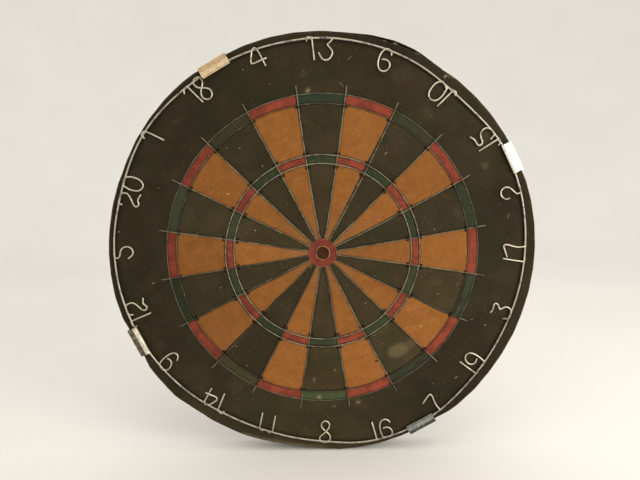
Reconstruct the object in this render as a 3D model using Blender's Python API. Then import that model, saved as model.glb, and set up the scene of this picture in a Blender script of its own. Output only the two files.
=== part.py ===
"""Round dart board with a turning wire number ring.

The board hangs upright: its back face lies in the plane Y = 0, its front looks along -Y,
and the origin is the centre of the back face. Lengths are metres, angles are degrees
measured clockwise from the top as a player sees them.
"""
import math

import bmesh
import bpy
from mathutils import Matrix, Vector

# ---- driving dimensions -------------------------------------------------------------

BOARD_RADIUS = 0.2285          # an 18 inch board
BOARD_THICKNESS = 0.025
RIM_CHAMFER = 0.0015
ROUND_STEPS = 60               # facets of the board and of every ring around it
GAP = 0.0003                   # air kept between touching pieces
HOLE_SPARE = 0.0020            # a fastener's hole is this much longer than its shank

SECTOR_COUNT = 20
DOUBLE_OUTER_RADIUS = 0.1672
DOUBLE_INNER_RADIUS = 0.1570
TREBLE_OUTER_RADIUS = 0.1046
TREBLE_INNER_RADIUS = 0.0955
BULL_OUTER_RADIUS = 0.0148
BULL_INNER_RADIUS = 0.0075
RADIAL_INNER_END = 0.0170      # the radial wires run between these two radii
RADIAL_OUTER_END = 0.1765

SPIDER_WIRE = 0.0012           # diameters
RING_WIRE = 0.0020
NUMERAL_WIRE = 0.0016
GROOVE_DEPTH = 0.0011          # the scoring rings are pressed into the face this deep
GROOVE_WIDTH = 0.0020

NUMBER_RING_RADIUS = 0.2190
RING_HEIGHT = GAP + RING_WIRE / 2     # of the wire's middle above the face
# bends of the old ring: angle, and how far it stands out from the true circle there
RING_BENDS = [
    (0, 0.0025), (24, 0.0005), (42, -0.0035), (62, 0.0015), (90, -0.0010), (114, -0.0025),
    (132, -0.0005), (148, 0.0035), (166, 0.0030), (180, -0.0035), (195, -0.0070),
    (210, -0.0070), (228, -0.0020), (246, 0.0020), (270, 0.0040), (288, 0.0030),
    (306, 0.0055), (324, 0.0030), (348, 0.0020),
]

CLIP_LENGTH = 0.0323           # along the rim
CLIP_SHEET = 0.0006
CLIP_BEAD_HALF = 0.0022        # half the width of the bead over the ring wire
CLIP_BEAD_RISE = 0.0011
CLIP_FLANGE = 0.0100           # how far it reaches back along the rim
CLIP_BEND = 0.0012
CLIP_ANGLES = {"upper_left": -29.2, "right": 63.6, "lower_right": 151.0, "lower_left": 244.8}

TACK_SHANK = 0.0014
TACK_HEAD = 0.0048
TACK_HEAD_THICKNESS = 0.0010
TACK_LENGTH = 0.0120
TACK_DEPTH = 0.0055            # behind the front face

HANGER_HEIGHT = 0.165          # above the centre of the back
HANGER_SIZE = (0.052, 0.018)
HANGER_SHEET = 0.0012
HANGER_CORNER = 0.0030
HANGER_RECESS = 0.0028
HANGER_HOLE = 0.0054
HANGER_WELL = 0.0130
HANGER_WELL_DEPTH = 0.0060
SCREW_SPACING = 0.038
SCREW_SHANK = 0.0028
SCREW_HEAD = 0.0064
SCREW_HEAD_THICKNESS = 0.0008
SCREW_LENGTH = 0.0150
SCREW_SLOT = 0.0008

# Each numeral is a bent wire, given in millimetres as (across, depth) or (across, depth,
# lift): clockwise along the ring from the middle of its sector, inwards from the ring, and
# up where one stroke passes over another. NUMERAL_BRANCHES holds a second wire where one
# can't make the whole numeral.
NUMERALS = {
    "13": [(-6.5, 21.5), (-8.2, 0), (2, 0), (12, 0), (11, 3), (6.7, 6.5), (11.5, 11.5),
           (12.5, 15), (9.5, 20.5), (5.2, 22.2), (1, 20.3), (-1.8, 14.3)],
    "6": [(6, 4.2), (5, 0.8), (2, 0), (-1, 0), (-3.8, 2), (-5.2, 6.5), (-5.5, 12),
          (-4.7, 17), (-1.8, 21), (2, 22), (6, 20), (8, 15.5), (6.5, 11.3), (2.8, 9.5), (-2, 10.5)],
    "10": [(-2, 1), (-5.5, 1), (-7.7, 4.3), (-8.4, 10.3), (-8, 15.5), (-5.7, 19.3), (-1.5, 20.8),
           (2.7, 19), (5, 15), (5.7, 9.7), (5.3, 3.5), (5.3, 1), (11.5, 0), (9, 15), (7.6, 22)],
    "15": [(-6.3, 22), (-1.5, 19.5), (4, 20.3), (6.8, 19.2), (7.2, 16.2), (4.8, 13.8),
           (0.5, 13.3), (-3.5, 10.8), (-4.9, 6.5), (-4.2, 3), (-1.5, 0), (6, 0), (12.8, 0), (11.1, 22.5)],
    "2": [(-7, 0), (5.5, 0), (6.4, 3.6), (4.8, 5.4), (1.5, 7.4), (-2.4, 9.6), (-4.6, 12.7),
          (-4.6, 16.5), (-2.4, 19.9), (1.5, 21.1), (5.2, 19.9), (7.9, 17.2), (7.9, 13)],
    "17": [(7, 19), (-1.8, 22.3), (-5.5, 23.6), (-7, 21.2), (-6.3, 17.8), (-4.4, 11.7),
           (-3.6, 6.4), (-4.4, 0), (12, 0), (10, 15), (8.5, 23.4)],
    "3": [(10.8, 6.4), (9.3, 0.7), (5, 0), (1, 0), (-1.5, 1.5), (-3.1, 5.3), (-1.9, 9), (2.3, 12.6),
          (0, 14.7), (-3.1, 17.3), (-3.1, 20), (-1.2, 21), (5, 20), (8.4, 21.8)],
    "19": [(-2, 9.7), (2.2, 7.9), (5.5, 9), (7.8, 12), (7.8, 16.2), (5.5, 20.4), (1.8, 22),
           (-2.1, 20.7), (-4.4, 17), (-5, 11), (-4.8, 5), (-4, 0), (12.3, 0), (11.7, 22.8)],
    "7": [(-5, 0), (0.7, 0), (1.1, 5), (0.8, 10), (-0.5, 15), (-1.6, 18.8), (-1.2, 21.5),
          (1.5, 21.9), (12, 17.6)],
    "16": [(-10, 15.5), (-9.6, 17), (-7.8, 20), (-4, 21.3), (-0.2, 20), (2.1, 16.3), (3.2, 11),
           (3.5, 5.7), (2.8, 1), (-3, 0), (-7.8, 0.5), (-9.3, 4.2), (-8.5, 8.3), (-5.5, 11.3),
           (-0.5, 11.5)],
    "8": [(4.6, 3), (-0.5, 1), (-5.3, 2), (-6.8, 5.4), (-5, 8.8), (-0.4, 12.5), (3, 16), (4.1, 19.7),
          (2.7, 23.1), (-0.8, 24.6), (-4.1, 23.1), (-5.7, 19.7), (-4.5, 16, 0.6),
          (-1.9, 13.3, 2), (1.2, 10.2, 2), (3.8, 7.6, 0.6), (6.2, 5.2)],
    "11": [(-4.3, 19.7), (-6.4, 0), (8.6, 0), (10.4, 19)],
    "14": [(-2.2, 21), (-7, 0), (-2, 0), (4.4, 1), (2.2, 5.5), (0.5, 9.6), (2.2, 12.3),
           (7.5, 12, 0.4), (10.5, 11.6, 2), (13.5, 11, 2), (15.8, 10.5, 0.8)],
    "9": [(8.5, 11.2), (6.6, 12.6), (3.2, 12.6), (0.2, 10.4), (-1.8, 6.7), (-1.8, 2.9), (0.5, 0),
          (8.5, 0), (9.8, 2.6), (10.8, 7.4), (11.1, 13.5), (10.3, 18.8), (8.1, 22.1), (5.1, 22.9),
          (2.1, 21.4), (0.2, 18.4)],
    "12": [(-2, 23.5), (-3.8, 0), (3, 0), (14, 0.5), (15.5, 4.2), (15.5, 8), (12.9, 11.4),
           (8.7, 13.7), (4.1, 15.9), (2.7, 18.6), (3.7, 21.2), (6.4, 22.3), (8.3, 20.4), (11, 19.4),
           (16.2, 21.6)],
    "5": [(8, 0), (-2, 0), (-2.6, 3.3), (-0.5, 5.6), (4, 6.2), (7.4, 7.6), (9.6, 10.5),
          (10.2, 14.4), (8.6, 18.1), (4.7, 20.3), (1, 19.3), (-1.3, 16.6), (-2.8, 14.4)],
    "20": [(2.6, 20), (-1.6, 18.8), (-4.2, 18.4), (-7.3, 20.8), (-9.9, 20.4), (-11.3, 17.8),
           (-9.5, 15.1), (-4.2, 11), (-0.5, 7.3), (0.1, 4.2), (-2, 0.5), (6, 0), (4.5, 5.7),
           (4.6, 11.8), (6, 17.1), (9.7, 20.1), (13.6, 20.1), (16.8, 16.9), (18.3, 11.3),
           (18, 5.4), (16.2, 1), (11, 1)],
    "1": [(-8, 3.2), (-7.2, 0), (-1.5, 0), (1.9, 20.6)],
    "18": [(-4.7, 21.6), (-8, 0), (-1.6, 0), (-1, 5.9), (1.2, 8.4), (4.5, 10.6), (8, 13.7),
           (9.3, 17.5), (7.6, 21.6), (3.7, 23.4), (0, 22), (-2.3, 18.2), (-1.5, 14.5, 0.6),
           (1.3, 11.4, 2), (5.3, 8.4, 2), (7.6, 5.7, 0.6), (8.6, 0), (4, 0)],
    "4": [(6.7, 18.4), (3.7, 0), (-2.5, 0), (-5.1, 6.7), (-6.7, 11.2), (-5.4, 12.6),
          (0.5, 12.2, 0.6), (3.5, 12.1, 2), (7, 11.9, 2), (10, 11.6, 0.8)],
}
NUMERAL_BRANCHES = {
    "16": [(2.8, 1), (10.3, 0), (9.3, 22.5)],
    "14": [(4.4, 1), (11, 0), (13, 18)],
}
NUMERAL_ORDER = ["13", "6", "10", "15", "2", "17", "3", "19", "7", "16",
                 "8", "11", "14", "9", "12", "5", "20", "1", "18", "4"]

# ---- colours ------------------------------------------------------------------------

PAINTED_PULP = ((0.045, 0.038, 0.024), 0.75, 0.0)
SPIDER_STEEL = ((0.24, 0.25, 0.21), 0.5, 0.9)
RING_STEEL = ((0.62, 0.58, 0.50), 0.4, 0.9)
CLIP_ZINC = ((0.50, 0.48, 0.44), 0.35, 0.9)
BRASSED_STEEL = ((0.45, 0.36, 0.20), 0.4, 0.9)


# ---- helpers ------------------------------------------------------------------------

def clear_scene():
    for old in list(bpy.data.objects):
        bpy.data.objects.remove(old, do_unlink=True)


def finish_object(name, data, colour_roughness_metal):
    """Link data as a named object with a material of its own."""
    obj = bpy.data.objects.new(name, data)
    bpy.context.collection.objects.link(obj)
    material = bpy.data.materials.new(name)
    material.use_nodes = True
    colour, roughness, metal = colour_roughness_metal
    shader = material.node_tree.nodes["Principled BSDF"]
    shader.inputs["Base Color"].default_value = (*colour, 1.0)
    shader.inputs["Roughness"].default_value = roughness
    shader.inputs["Metallic"].default_value = metal
    data.materials.append(material)
    return obj


def mesh_object(name, mesh_builder, finish):
    mesh = bpy.data.meshes.new(name)
    mesh_builder.to_mesh(mesh)
    mesh_builder.free()
    return finish_object(name, mesh, finish)


def facing_forward():
    """Turns a shape built along +Z so that its +Z looks along -Y, out of the board."""
    return Matrix.Rotation(math.radians(90), 4, "X")


def front_point(radius, angle, height):
    """A point above the front face, by its radius, clockwise angle and height."""
    turn = math.radians(angle)
    return Vector((radius * math.sin(turn), -(BOARD_THICKNESS + height), radius * math.cos(turn)))


def outward_frame(angle):
    """Axes at the rim: X clockwise along it, Y out of the face, Z away from the centre."""
    turn = math.radians(angle)
    along = Vector((math.cos(turn), 0, -math.sin(turn)))
    out_of_face = Vector((0, -1, 0))
    away = Vector((math.sin(turn), 0, math.cos(turn)))
    return Matrix((along, out_of_face, away)).transposed().to_4x4()


def turned_solid(profile, steps):
    """Turns (radius, height) points, which start and end on the axis, about Z."""
    builder = bmesh.new()
    points = [builder.verts.new((radius, 0, height)) for radius, height in profile]
    edges = [builder.edges.new(pair) for pair in zip(points, points[1:])]
    bmesh.ops.spin(builder, geom=points + edges, cent=(0, 0, 0), axis=(0, 0, 1),
                   angle=math.tau, steps=steps, use_merge=True)
    bmesh.ops.remove_doubles(builder, verts=builder.verts, dist=0.00001)
    bmesh.ops.recalc_face_normals(builder, faces=builder.faces)
    return builder


def wire(name, points, diameter, finish, closed=False):
    """A round wire through the points, with six sides and flat ends."""
    curve = bpy.data.curves.new(name, "CURVE")
    curve.dimensions = "3D"
    curve.bevel_depth = diameter / 2
    curve.bevel_resolution = 1
    curve.use_fill_caps = True
    spline = curve.splines.new("POLY")
    spline.points.add(len(points) - 1)
    for spot, point in zip(spline.points, points):
        spot.co = (*point, 1.0)
    spline.use_cyclic_u = closed
    spline.use_smooth = True
    return finish_object(name, curve, finish)


def turned_to_mesh(obj):
    """Replaces a curve object with the mesh that it makes, which a Boolean needs."""
    name = obj.name
    depsgraph = bpy.context.evaluated_depsgraph_get()
    mesh = bpy.data.meshes.new_from_object(obj.evaluated_get(depsgraph))
    bpy.data.objects.remove(obj, do_unlink=True)
    solid = bpy.data.objects.new(name, mesh)
    bpy.context.collection.objects.link(solid)
    return solid


def round_cutter(name, diameter, length):
    """A cylinder from its origin along +Z, used only to cut."""
    builder = bmesh.new()
    bmesh.ops.create_cone(builder, cap_ends=True, segments=12, radius1=diameter / 2,
                          radius2=diameter / 2, depth=length)
    bmesh.ops.translate(builder, verts=builder.verts, vec=(0, 0, length / 2))
    return as_cutter(mesh_object(name, builder, BRASSED_STEEL))


def box_cutter(name, size):
    """A box centred on its origin, used only to cut."""
    builder = bmesh.new()
    bmesh.ops.create_cube(builder, size=1.0)
    bmesh.ops.scale(builder, verts=builder.verts, vec=size)
    return as_cutter(mesh_object(name, builder, BRASSED_STEEL))


def as_cutter(obj):
    obj.hide_render = True
    obj.display_type = "WIRE"
    return obj


def cut(obj, *cutters):
    for cutter in cutters:
        boolean = obj.modifiers.new("cut_" + cutter.name, "BOOLEAN")
        boolean.operation = "DIFFERENCE"
        boolean.solver = "EXACT"
        boolean.object = cutter


def smooth_round(obj):
    obj.data.shade_smooth()
    obj.data.set_sharp_from_angle(angle=math.radians(35))


# ---- board --------------------------------------------------------------------------

def groove(radius):
    """The four profile corners of one pressed groove in the front face."""
    half = GROOVE_WIDTH / 2
    top = BOARD_THICKNESS
    return [(radius - half, top), (radius - half, top - GROOVE_DEPTH),
            (radius + half, top - GROOVE_DEPTH), (radius + half, top)]


def board_core():
    profile = [(0, BOARD_THICKNESS)]
    for radius in (TREBLE_INNER_RADIUS, TREBLE_OUTER_RADIUS, DOUBLE_INNER_RADIUS,
                   DOUBLE_OUTER_RADIUS):
        profile += groove(radius)
    profile += [(BOARD_RADIUS - RIM_CHAMFER, BOARD_THICKNESS),
                (BOARD_RADIUS, BOARD_THICKNESS - RIM_CHAMFER),
                (BOARD_RADIUS, RIM_CHAMFER), (BOARD_RADIUS - RIM_CHAMFER, 0), (0, 0)]
    core = mesh_object("board_core", turned_solid(profile, ROUND_STEPS), PAINTED_PULP)
    core.matrix_world = facing_forward()
    smooth_round(core)
    return core


# ---- spider -------------------------------------------------------------------------

def circle_points(radius, height, steps):
    return [front_point(radius, 360 * step / steps, height) for step in range(steps)]


def spider_rings():
    pressed = SPIDER_WIRE / 2 + GAP - GROOVE_DEPTH
    for name, radius in (("double_outer_wire", DOUBLE_OUTER_RADIUS),
                         ("double_inner_wire", DOUBLE_INNER_RADIUS),
                         ("treble_outer_wire", TREBLE_OUTER_RADIUS),
                         ("treble_inner_wire", TREBLE_INNER_RADIUS)):
        wire(name, circle_points(radius, pressed, ROUND_STEPS), SPIDER_WIRE, SPIDER_STEEL, True)
    laid = SPIDER_WIRE / 2 + GAP
    for name, radius in (("bull_outer_wire", BULL_OUTER_RADIUS),
                         ("bull_inner_wire", BULL_INNER_RADIUS)):
        wire(name, circle_points(radius, laid, ROUND_STEPS // 3), SPIDER_WIRE, SPIDER_STEEL, True)


def spider_radials():
    ring_top = SPIDER_WIRE + GAP - GROOVE_DEPTH
    height = ring_top + GAP + SPIDER_WIRE / 2
    for number in range(SECTOR_COUNT):
        angle = (number + 0.5) * 360 / SECTOR_COUNT
        ends = [front_point(RADIAL_INNER_END, angle, height),
                front_point(RADIAL_OUTER_END, angle, height)]
        wire(f"spider_radial_wire_{number + 1:02d}", ends, SPIDER_WIRE, SPIDER_STEEL)


# ---- number ring --------------------------------------------------------------------

def ring_radius(angle):
    """The bent ring's radius: a smooth curve through RING_BENDS, all the way round."""
    angle %= 360
    count = len(RING_BENDS)
    last = max(i for i in range(count) if RING_BENDS[i][0] <= angle)
    knots = []
    for step in (-1, 0, 1, 2):
        turns, index = divmod(last + step, count)
        knots.append((RING_BENDS[index][0] + 360 * turns, RING_BENDS[index][1]))
    (a0, r0), (a1, r1), (a2, r2), (a3, r3) = knots
    slope1 = (r2 - r0) / (a2 - a0)
    slope2 = (r3 - r1) / (a3 - a1)
    span = a2 - a1
    t = (angle - a1) / span
    bend = ((2 * t ** 3 - 3 * t ** 2 + 1) * r1 + (t ** 3 - 2 * t ** 2 + t) * span * slope1
            + (3 * t ** 2 - 2 * t ** 3) * r2 + (t ** 3 - t ** 2) * span * slope2)
    return NUMBER_RING_RADIUS + bend


def number_ring():
    points = []
    for step in range(ROUND_STEPS + 12):
        angle = 360 * step / (ROUND_STEPS + 12)
        points.append(front_point(ring_radius(angle), angle, RING_HEIGHT))
    wire("number_ring_wire", points, RING_WIRE, RING_STEEL, True)


def numeral_point(sector_angle, across, depth, lift=0.0):
    """A numeral's point in its sector, kept just inside the ring wire."""
    turn = math.radians(sector_angle)
    reach = ring_radius(sector_angle) - depth / 1000
    x = reach * math.sin(turn) + across / 1000 * math.cos(turn)
    z = reach * math.cos(turn) - across / 1000 * math.sin(turn)
    angle = math.degrees(math.atan2(x, z))
    clearance = (RING_WIRE + NUMERAL_WIRE) / 2 + GAP
    radius = min(math.hypot(x, z), ring_radius(angle) - clearance)
    return front_point(radius, angle, RING_HEIGHT + lift / 1000)


def numeral_wire(name, route, sector_angle):
    points = [numeral_point(sector_angle, *stop) for stop in route]
    return wire(name, points, NUMERAL_WIRE, RING_STEEL)


def numerals():
    for index, name in enumerate(NUMERAL_ORDER):
        sector_angle = index * 360 / SECTOR_COUNT
        stroke = numeral_wire("numeral_" + name, NUMERALS[name], sector_angle)
        if name in NUMERAL_BRANCHES:
            branch = numeral_wire("branch_" + name, NUMERAL_BRANCHES[name], sector_angle)
            join = turned_to_mesh(stroke).modifiers.new("join", "BOOLEAN")
            join.operation = "UNION"
            join.solver = "EXACT"
            join.object = as_cutter(turned_to_mesh(branch))


# ---- clips that hold the number ring ------------------------------------------------

def clip_centreline(ring_at_clip):
    """The bent strip's middle line in (outward, height): flange, corner, plate, bead."""
    outer = BOARD_RADIUS + GAP + CLIP_SHEET / 2
    plate = RING_HEIGHT + RING_WIRE / 2 + GAP + CLIP_SHEET / 2
    line = [(outer, -CLIP_FLANGE)]
    for step in range(4):
        turn = math.radians(30 * step)
        line.append((outer - CLIP_BEND + CLIP_BEND * math.cos(turn),
                     plate - CLIP_BEND + CLIP_BEND * math.sin(turn)))
    for step in range(9):
        turn = math.radians(22.5 * step)
        line.append((ring_at_clip + CLIP_BEAD_HALF * math.cos(turn),
                     plate + CLIP_BEAD_RISE * math.sin(turn)))
    return line


def strip_outline(line, thickness):
    """Both sides of a bent strip of sheet, as one closed outline around its middle line."""
    left, right = [], []
    for index, (x, y) in enumerate(line):
        before = Vector(line[max(index - 1, 0)])
        after = Vector(line[min(index + 1, len(line) - 1)])
        here = Vector((x, y))
        first = (here - before).normalized() if index else (after - here).normalized()
        second = (after - here).normalized() if index < len(line) - 1 else first
        middle = (first + second).normalized()
        normal = Vector((-middle.y, middle.x))
        reach = thickness / 2 / max(middle.dot(first), 0.5)
        left.append(here + normal * reach)
        right.append(here - normal * reach)
    return left + right[::-1]


def ring_clips(core):
    for place, angle in CLIP_ANGLES.items():
        outline = strip_outline(clip_centreline(ring_radius(angle)), CLIP_SHEET)
        builder = bmesh.new()
        corners = [builder.verts.new((-CLIP_LENGTH / 2, height + BOARD_THICKNESS, outward))
                   for outward, height in outline]
        face = builder.faces.new(corners)
        swept = bmesh.ops.extrude_face_region(builder, geom=[face])["geom"]
        moved = [item for item in swept if isinstance(item, bmesh.types.BMVert)]
        bmesh.ops.translate(builder, verts=moved, vec=(CLIP_LENGTH, 0, 0))
        bmesh.ops.recalc_face_normals(builder, faces=builder.faces)
        clip = mesh_object("ring_clip_" + place, builder, CLIP_ZINC)
        clip.matrix_world = outward_frame(angle)
        smooth_round(clip)
        tack(place, angle, core, clip)


def tack(place, angle, core, clip):
    """A domed tack through the clip's flange into the rim."""
    flange_face = BOARD_RADIUS + GAP + CLIP_SHEET
    under_head = flange_face + GAP
    shank = TACK_SHANK / 2
    head = TACK_HEAD / 2
    profile = [(0, -TACK_LENGTH), (shank * 0.5, -TACK_LENGTH + 0.0012),
               (shank, -TACK_LENGTH + 0.0030), (shank, 0), (head, 0),
               (head * 0.75, TACK_HEAD_THICKNESS * 0.7), (0, TACK_HEAD_THICKNESS)]
    nail = mesh_object("clip_tack_" + place, turned_solid(profile, 12), BRASSED_STEEL)
    forward = BOARD_THICKNESS - TACK_DEPTH
    frame = outward_frame(angle)
    nail.matrix_world = frame @ Matrix.Translation((0, forward, under_head))
    smooth_round(nail)
    hole_length = TACK_LENGTH + HOLE_SPARE
    hole = round_cutter("cut_tack_" + place, TACK_SHANK + 2 * GAP, hole_length)
    hole_end = under_head - TACK_LENGTH - HOLE_SPARE / 2
    hole.matrix_world = frame @ Matrix.Translation((0, forward, hole_end))
    cut(core, hole)
    cut(clip, hole)


# ---- hanger in the back -------------------------------------------------------------

def facing_back(x, z, depth):
    """Places a shape built along +Z so that it looks out of the back, along +Y."""
    return Matrix.Translation((x, -depth, z)) @ Matrix.Rotation(math.radians(-90), 4, "X")


def hanger(core):
    width, height = HANGER_SIZE
    recess = box_cutter("cut_hanger_recess", (width + 4 * GAP, height + 4 * GAP, 2 * HANGER_RECESS))
    recess.matrix_world = facing_back(0, HANGER_HEIGHT, 0)
    well = round_cutter("cut_hanger_well", HANGER_WELL, HANGER_WELL_DEPTH)
    well.matrix_world = facing_back(0, HANGER_HEIGHT, HANGER_WELL_DEPTH)
    cut(core, recess, well)

    builder = bmesh.new()
    bmesh.ops.create_cube(builder, size=1.0)
    bmesh.ops.scale(builder, verts=builder.verts, vec=(width, height, HANGER_SHEET))
    plate_middle = HANGER_RECESS - GAP - HANGER_SHEET / 2
    upright = [edge for edge in builder.edges
               if abs(edge.verts[0].co.z - edge.verts[1].co.z) > HANGER_SHEET / 2]
    bmesh.ops.bevel(builder, geom=upright, offset=HANGER_CORNER, segments=3, affect="EDGES")
    plate = mesh_object("hanger_plate", builder, BRASSED_STEEL)
    plate.matrix_world = facing_back(0, HANGER_HEIGHT, plate_middle)
    nail_hole = round_cutter("cut_hanger_hole", HANGER_HOLE, 2 * HANGER_SHEET)
    nail_hole.matrix_world = facing_back(0, HANGER_HEIGHT, plate_middle + HANGER_SHEET)
    cut(plate, nail_hole)

    head_depth = plate_middle - HANGER_SHEET / 2 - GAP
    for side, x in (("left", -SCREW_SPACING / 2), ("right", SCREW_SPACING / 2)):
        hanger_screw(side, x, head_depth, plate, core)


def hanger_screw(side, x, head_depth, plate, core):
    """A slotted screw, its head just under the back face."""
    shank = SCREW_SHANK / 2
    head = SCREW_HEAD / 2
    profile = [(0, -SCREW_LENGTH), (shank * 0.4, -SCREW_LENGTH + 0.001),
               (shank, -SCREW_LENGTH + 0.004), (shank, 0), (head, 0),
               (head, SCREW_HEAD_THICKNESS * 0.6), (head * 0.85, SCREW_HEAD_THICKNESS),
               (0, SCREW_HEAD_THICKNESS)]
    screw = mesh_object("hanger_screw_" + side, turned_solid(profile, 12), BRASSED_STEEL)
    screw.matrix_world = facing_back(x, HANGER_HEIGHT, head_depth)
    smooth_round(screw)
    slot = box_cutter("cut_screw_slot_" + side, (SCREW_HEAD * 1.2, SCREW_SLOT, SCREW_HEAD_THICKNESS))
    slot.matrix_world = facing_back(x, HANGER_HEIGHT, head_depth - SCREW_HEAD_THICKNESS)
    cut(screw, slot)
    hole_length = SCREW_LENGTH + HOLE_SPARE
    hole = round_cutter("cut_screw_hole_" + side, SCREW_SHANK + 2 * GAP, hole_length)
    hole.matrix_world = facing_back(x, HANGER_HEIGHT, head_depth + SCREW_LENGTH + HOLE_SPARE / 2)
    cut(plate, hole)
    cut(core, hole)


def main():
    clear_scene()
    core = board_core()
    spider_rings()
    spider_radials()
    number_ring()
    numerals()
    ring_clips(core)
    hanger(core)


main()
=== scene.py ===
import math

import bpy
import numpy as np
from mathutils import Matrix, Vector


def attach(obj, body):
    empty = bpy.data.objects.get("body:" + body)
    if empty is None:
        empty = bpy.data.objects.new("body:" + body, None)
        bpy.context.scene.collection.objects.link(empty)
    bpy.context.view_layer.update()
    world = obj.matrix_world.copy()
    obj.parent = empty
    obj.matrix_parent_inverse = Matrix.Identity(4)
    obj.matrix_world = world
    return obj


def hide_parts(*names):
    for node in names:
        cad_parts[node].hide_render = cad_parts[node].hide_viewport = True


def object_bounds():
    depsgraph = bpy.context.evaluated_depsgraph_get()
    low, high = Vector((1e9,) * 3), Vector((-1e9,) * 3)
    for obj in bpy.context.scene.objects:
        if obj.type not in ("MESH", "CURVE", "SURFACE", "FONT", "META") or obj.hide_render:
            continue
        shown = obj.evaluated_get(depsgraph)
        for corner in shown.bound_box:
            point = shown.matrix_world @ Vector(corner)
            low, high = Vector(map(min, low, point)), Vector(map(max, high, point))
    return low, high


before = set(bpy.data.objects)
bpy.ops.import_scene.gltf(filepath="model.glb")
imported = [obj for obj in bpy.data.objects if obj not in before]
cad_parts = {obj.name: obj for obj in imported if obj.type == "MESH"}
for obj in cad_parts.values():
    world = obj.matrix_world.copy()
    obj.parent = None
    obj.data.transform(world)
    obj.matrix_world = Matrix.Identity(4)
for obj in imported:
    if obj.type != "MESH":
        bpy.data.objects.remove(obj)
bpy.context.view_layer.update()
turn = 2 * math.pi

# An old dart board of wound paper: painted face, wire scoring rings, and a bent number
# ring that turns under its clips. Metres; angles are clockwise degrees from the top as a
# player sees them. The face looks along -Y and the back lies in the plane Y = 0.

board = dict(radius=0.2285, thickness=0.025, sectors=20, steps=640, edgeRound=0.0012,
             unevenness=0.00022, coarseness=0.00008, grooveWidth=0.0009, seatDepth=0.0003,
             seatWidth=0.0015, bullDip=0.0009, ragged=0.00018, wornFrom=0.200)
sectorWidth = 360 / board["sectors"]
face = -board["thickness"]
scoring = dict(doubleOuter=0.1672, doubleInner=0.1570, trebleOuter=0.1046, trebleInner=0.0955,
               bullOuter=0.0152, bullInner=0.0075, wire=0.0012)
grooveDepths = dict(trebleInner=0.0007, trebleOuter=0.0007, doubleInner=0.0006, doubleOuter=0.0005)
names = ["13", "6", "10", "15", "2", "17", "3", "19", "7", "16",
         "8", "11", "14", "9", "12", "5", "20", "1", "18", "4"]


# numbers and colours

def paint(code):
    # a colour written as on a paint chart, turned to the linear values that shaders mix
    parts = np.array([int(code[i:i + 2], 16) for i in (0, 2, 4)]) / 255
    linear = np.where(parts < 0.04045, parts / 12.92, ((parts + 0.055) / 1.055) ** 2.4)
    return (*linear, 1.0)


def smoothStep(value, low, high):
    share = np.clip((value - low) / (high - low), 0, 1)
    return share * share * (3 - 2 * share)


def slowWaves(x, z, size, seed):
    # seven sine waves of random heading, about one size long, added and kept within +-1
    rng = np.random.default_rng(seed)
    total = np.zeros(np.broadcast(x, z).shape)
    for heading, stretch, start in rng.random((7, 3)):
        length = size * (0.6 + stretch)
        along = x * math.cos(turn * heading) + z * math.sin(turn * heading)
        total += np.sin(turn * (along / length + start))
    return total / 4


def asPolar(x, z):
    return np.hypot(x, z), np.degrees(np.arctan2(x, z))


def evenAngles(steps):
    return np.arange(steps) * 360 / steps


def aroundTable(angle, table):
    # the value at an angle, between the rows of a table that runs from the top round
    return np.interp(angle, *np.array(table, float).T, period=360)


def circle(steps, first=0.0):
    # cosine and sine at even steps round a turn
    around = (np.arange(steps) + first) * turn / steps
    return np.cos(around), np.sin(around)


def polarPlace(radius, angle, height):
    # radius and clockwise angle on the face, and height above it, as x, y, z
    bend = np.radians(angle)
    parts = np.broadcast_arrays(radius * np.sin(bend), face - height, radius * np.cos(bend))
    return np.stack(parts, axis=-1)


# surfaces

def gridQuads(rows, columns, aroundRows, aroundColumns):
    # the four corners of each cell in a grid of points, wrapping round where asked
    i, j = np.meshgrid(np.arange(rows - (not aroundRows)), np.arange(columns - (not aroundColumns)),
                       indexing="ij")
    nextRow, nextColumn = (i + 1) % rows, (j + 1) % columns
    corners = [i * columns + j, i * columns + nextColumn,
               nextRow * columns + nextColumn, nextRow * columns + j]
    return np.stack(corners, axis=-1).reshape(-1, 4)


def sleeve(grid, aroundRows=False):
    # rows of points joined round their columns; a point in the middle closes each open end
    rows, columns = grid.shape[:2]
    points = grid.reshape(-1, 3)
    quads = gridQuads(rows, columns, aroundRows, True)
    triangles = np.zeros((0, 3), int)
    if not aroundRows:
        points = np.vstack([points, grid[[0, -1]].mean(axis=1)])
        here = np.arange(columns)
        after = (here + 1) % columns
        pole = np.full(columns, rows * columns)
        last = (rows - 1) * columns
        triangles = np.vstack([np.stack([pole, after, here], 1),
                               np.stack([pole + 1, last + here, last + after], 1)])
    return points, quads, triangles


def outwards(points, quads, triangles):
    # turns the faces over if the closed surface holds a negative volume
    corners = np.vstack([quads[:, [0, 1, 2]], quads[:, [0, 2, 3]], triangles])
    a, b, c = points[corners].transpose(1, 0, 2)
    if np.einsum("ij,ij->", a, np.cross(b, c)) < 0:
        return points, quads[:, ::-1], triangles[:, ::-1]
    return points, quads, triangles


def makeObject(name, solids, material, sharp=50):
    # joins closed surfaces in one mesh, smooth but for its sharp edges
    points, faces, count = [], [], 0
    for solid in solids:
        some, quads, triangles = outwards(*solid)
        points.append(some)
        faces += (quads + count).tolist() + (triangles + count).tolist()
        count += len(some)
    mesh = bpy.data.meshes.new(name)
    mesh.from_pydata(np.vstack(points), [], faces)
    mesh.shade_smooth()
    mesh.set_sharp_from_angle(angle=math.radians(sharp))
    mesh.materials.append(material)
    made = bpy.data.objects.new(name, mesh)
    bpy.context.collection.objects.link(made)
    return made


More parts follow.
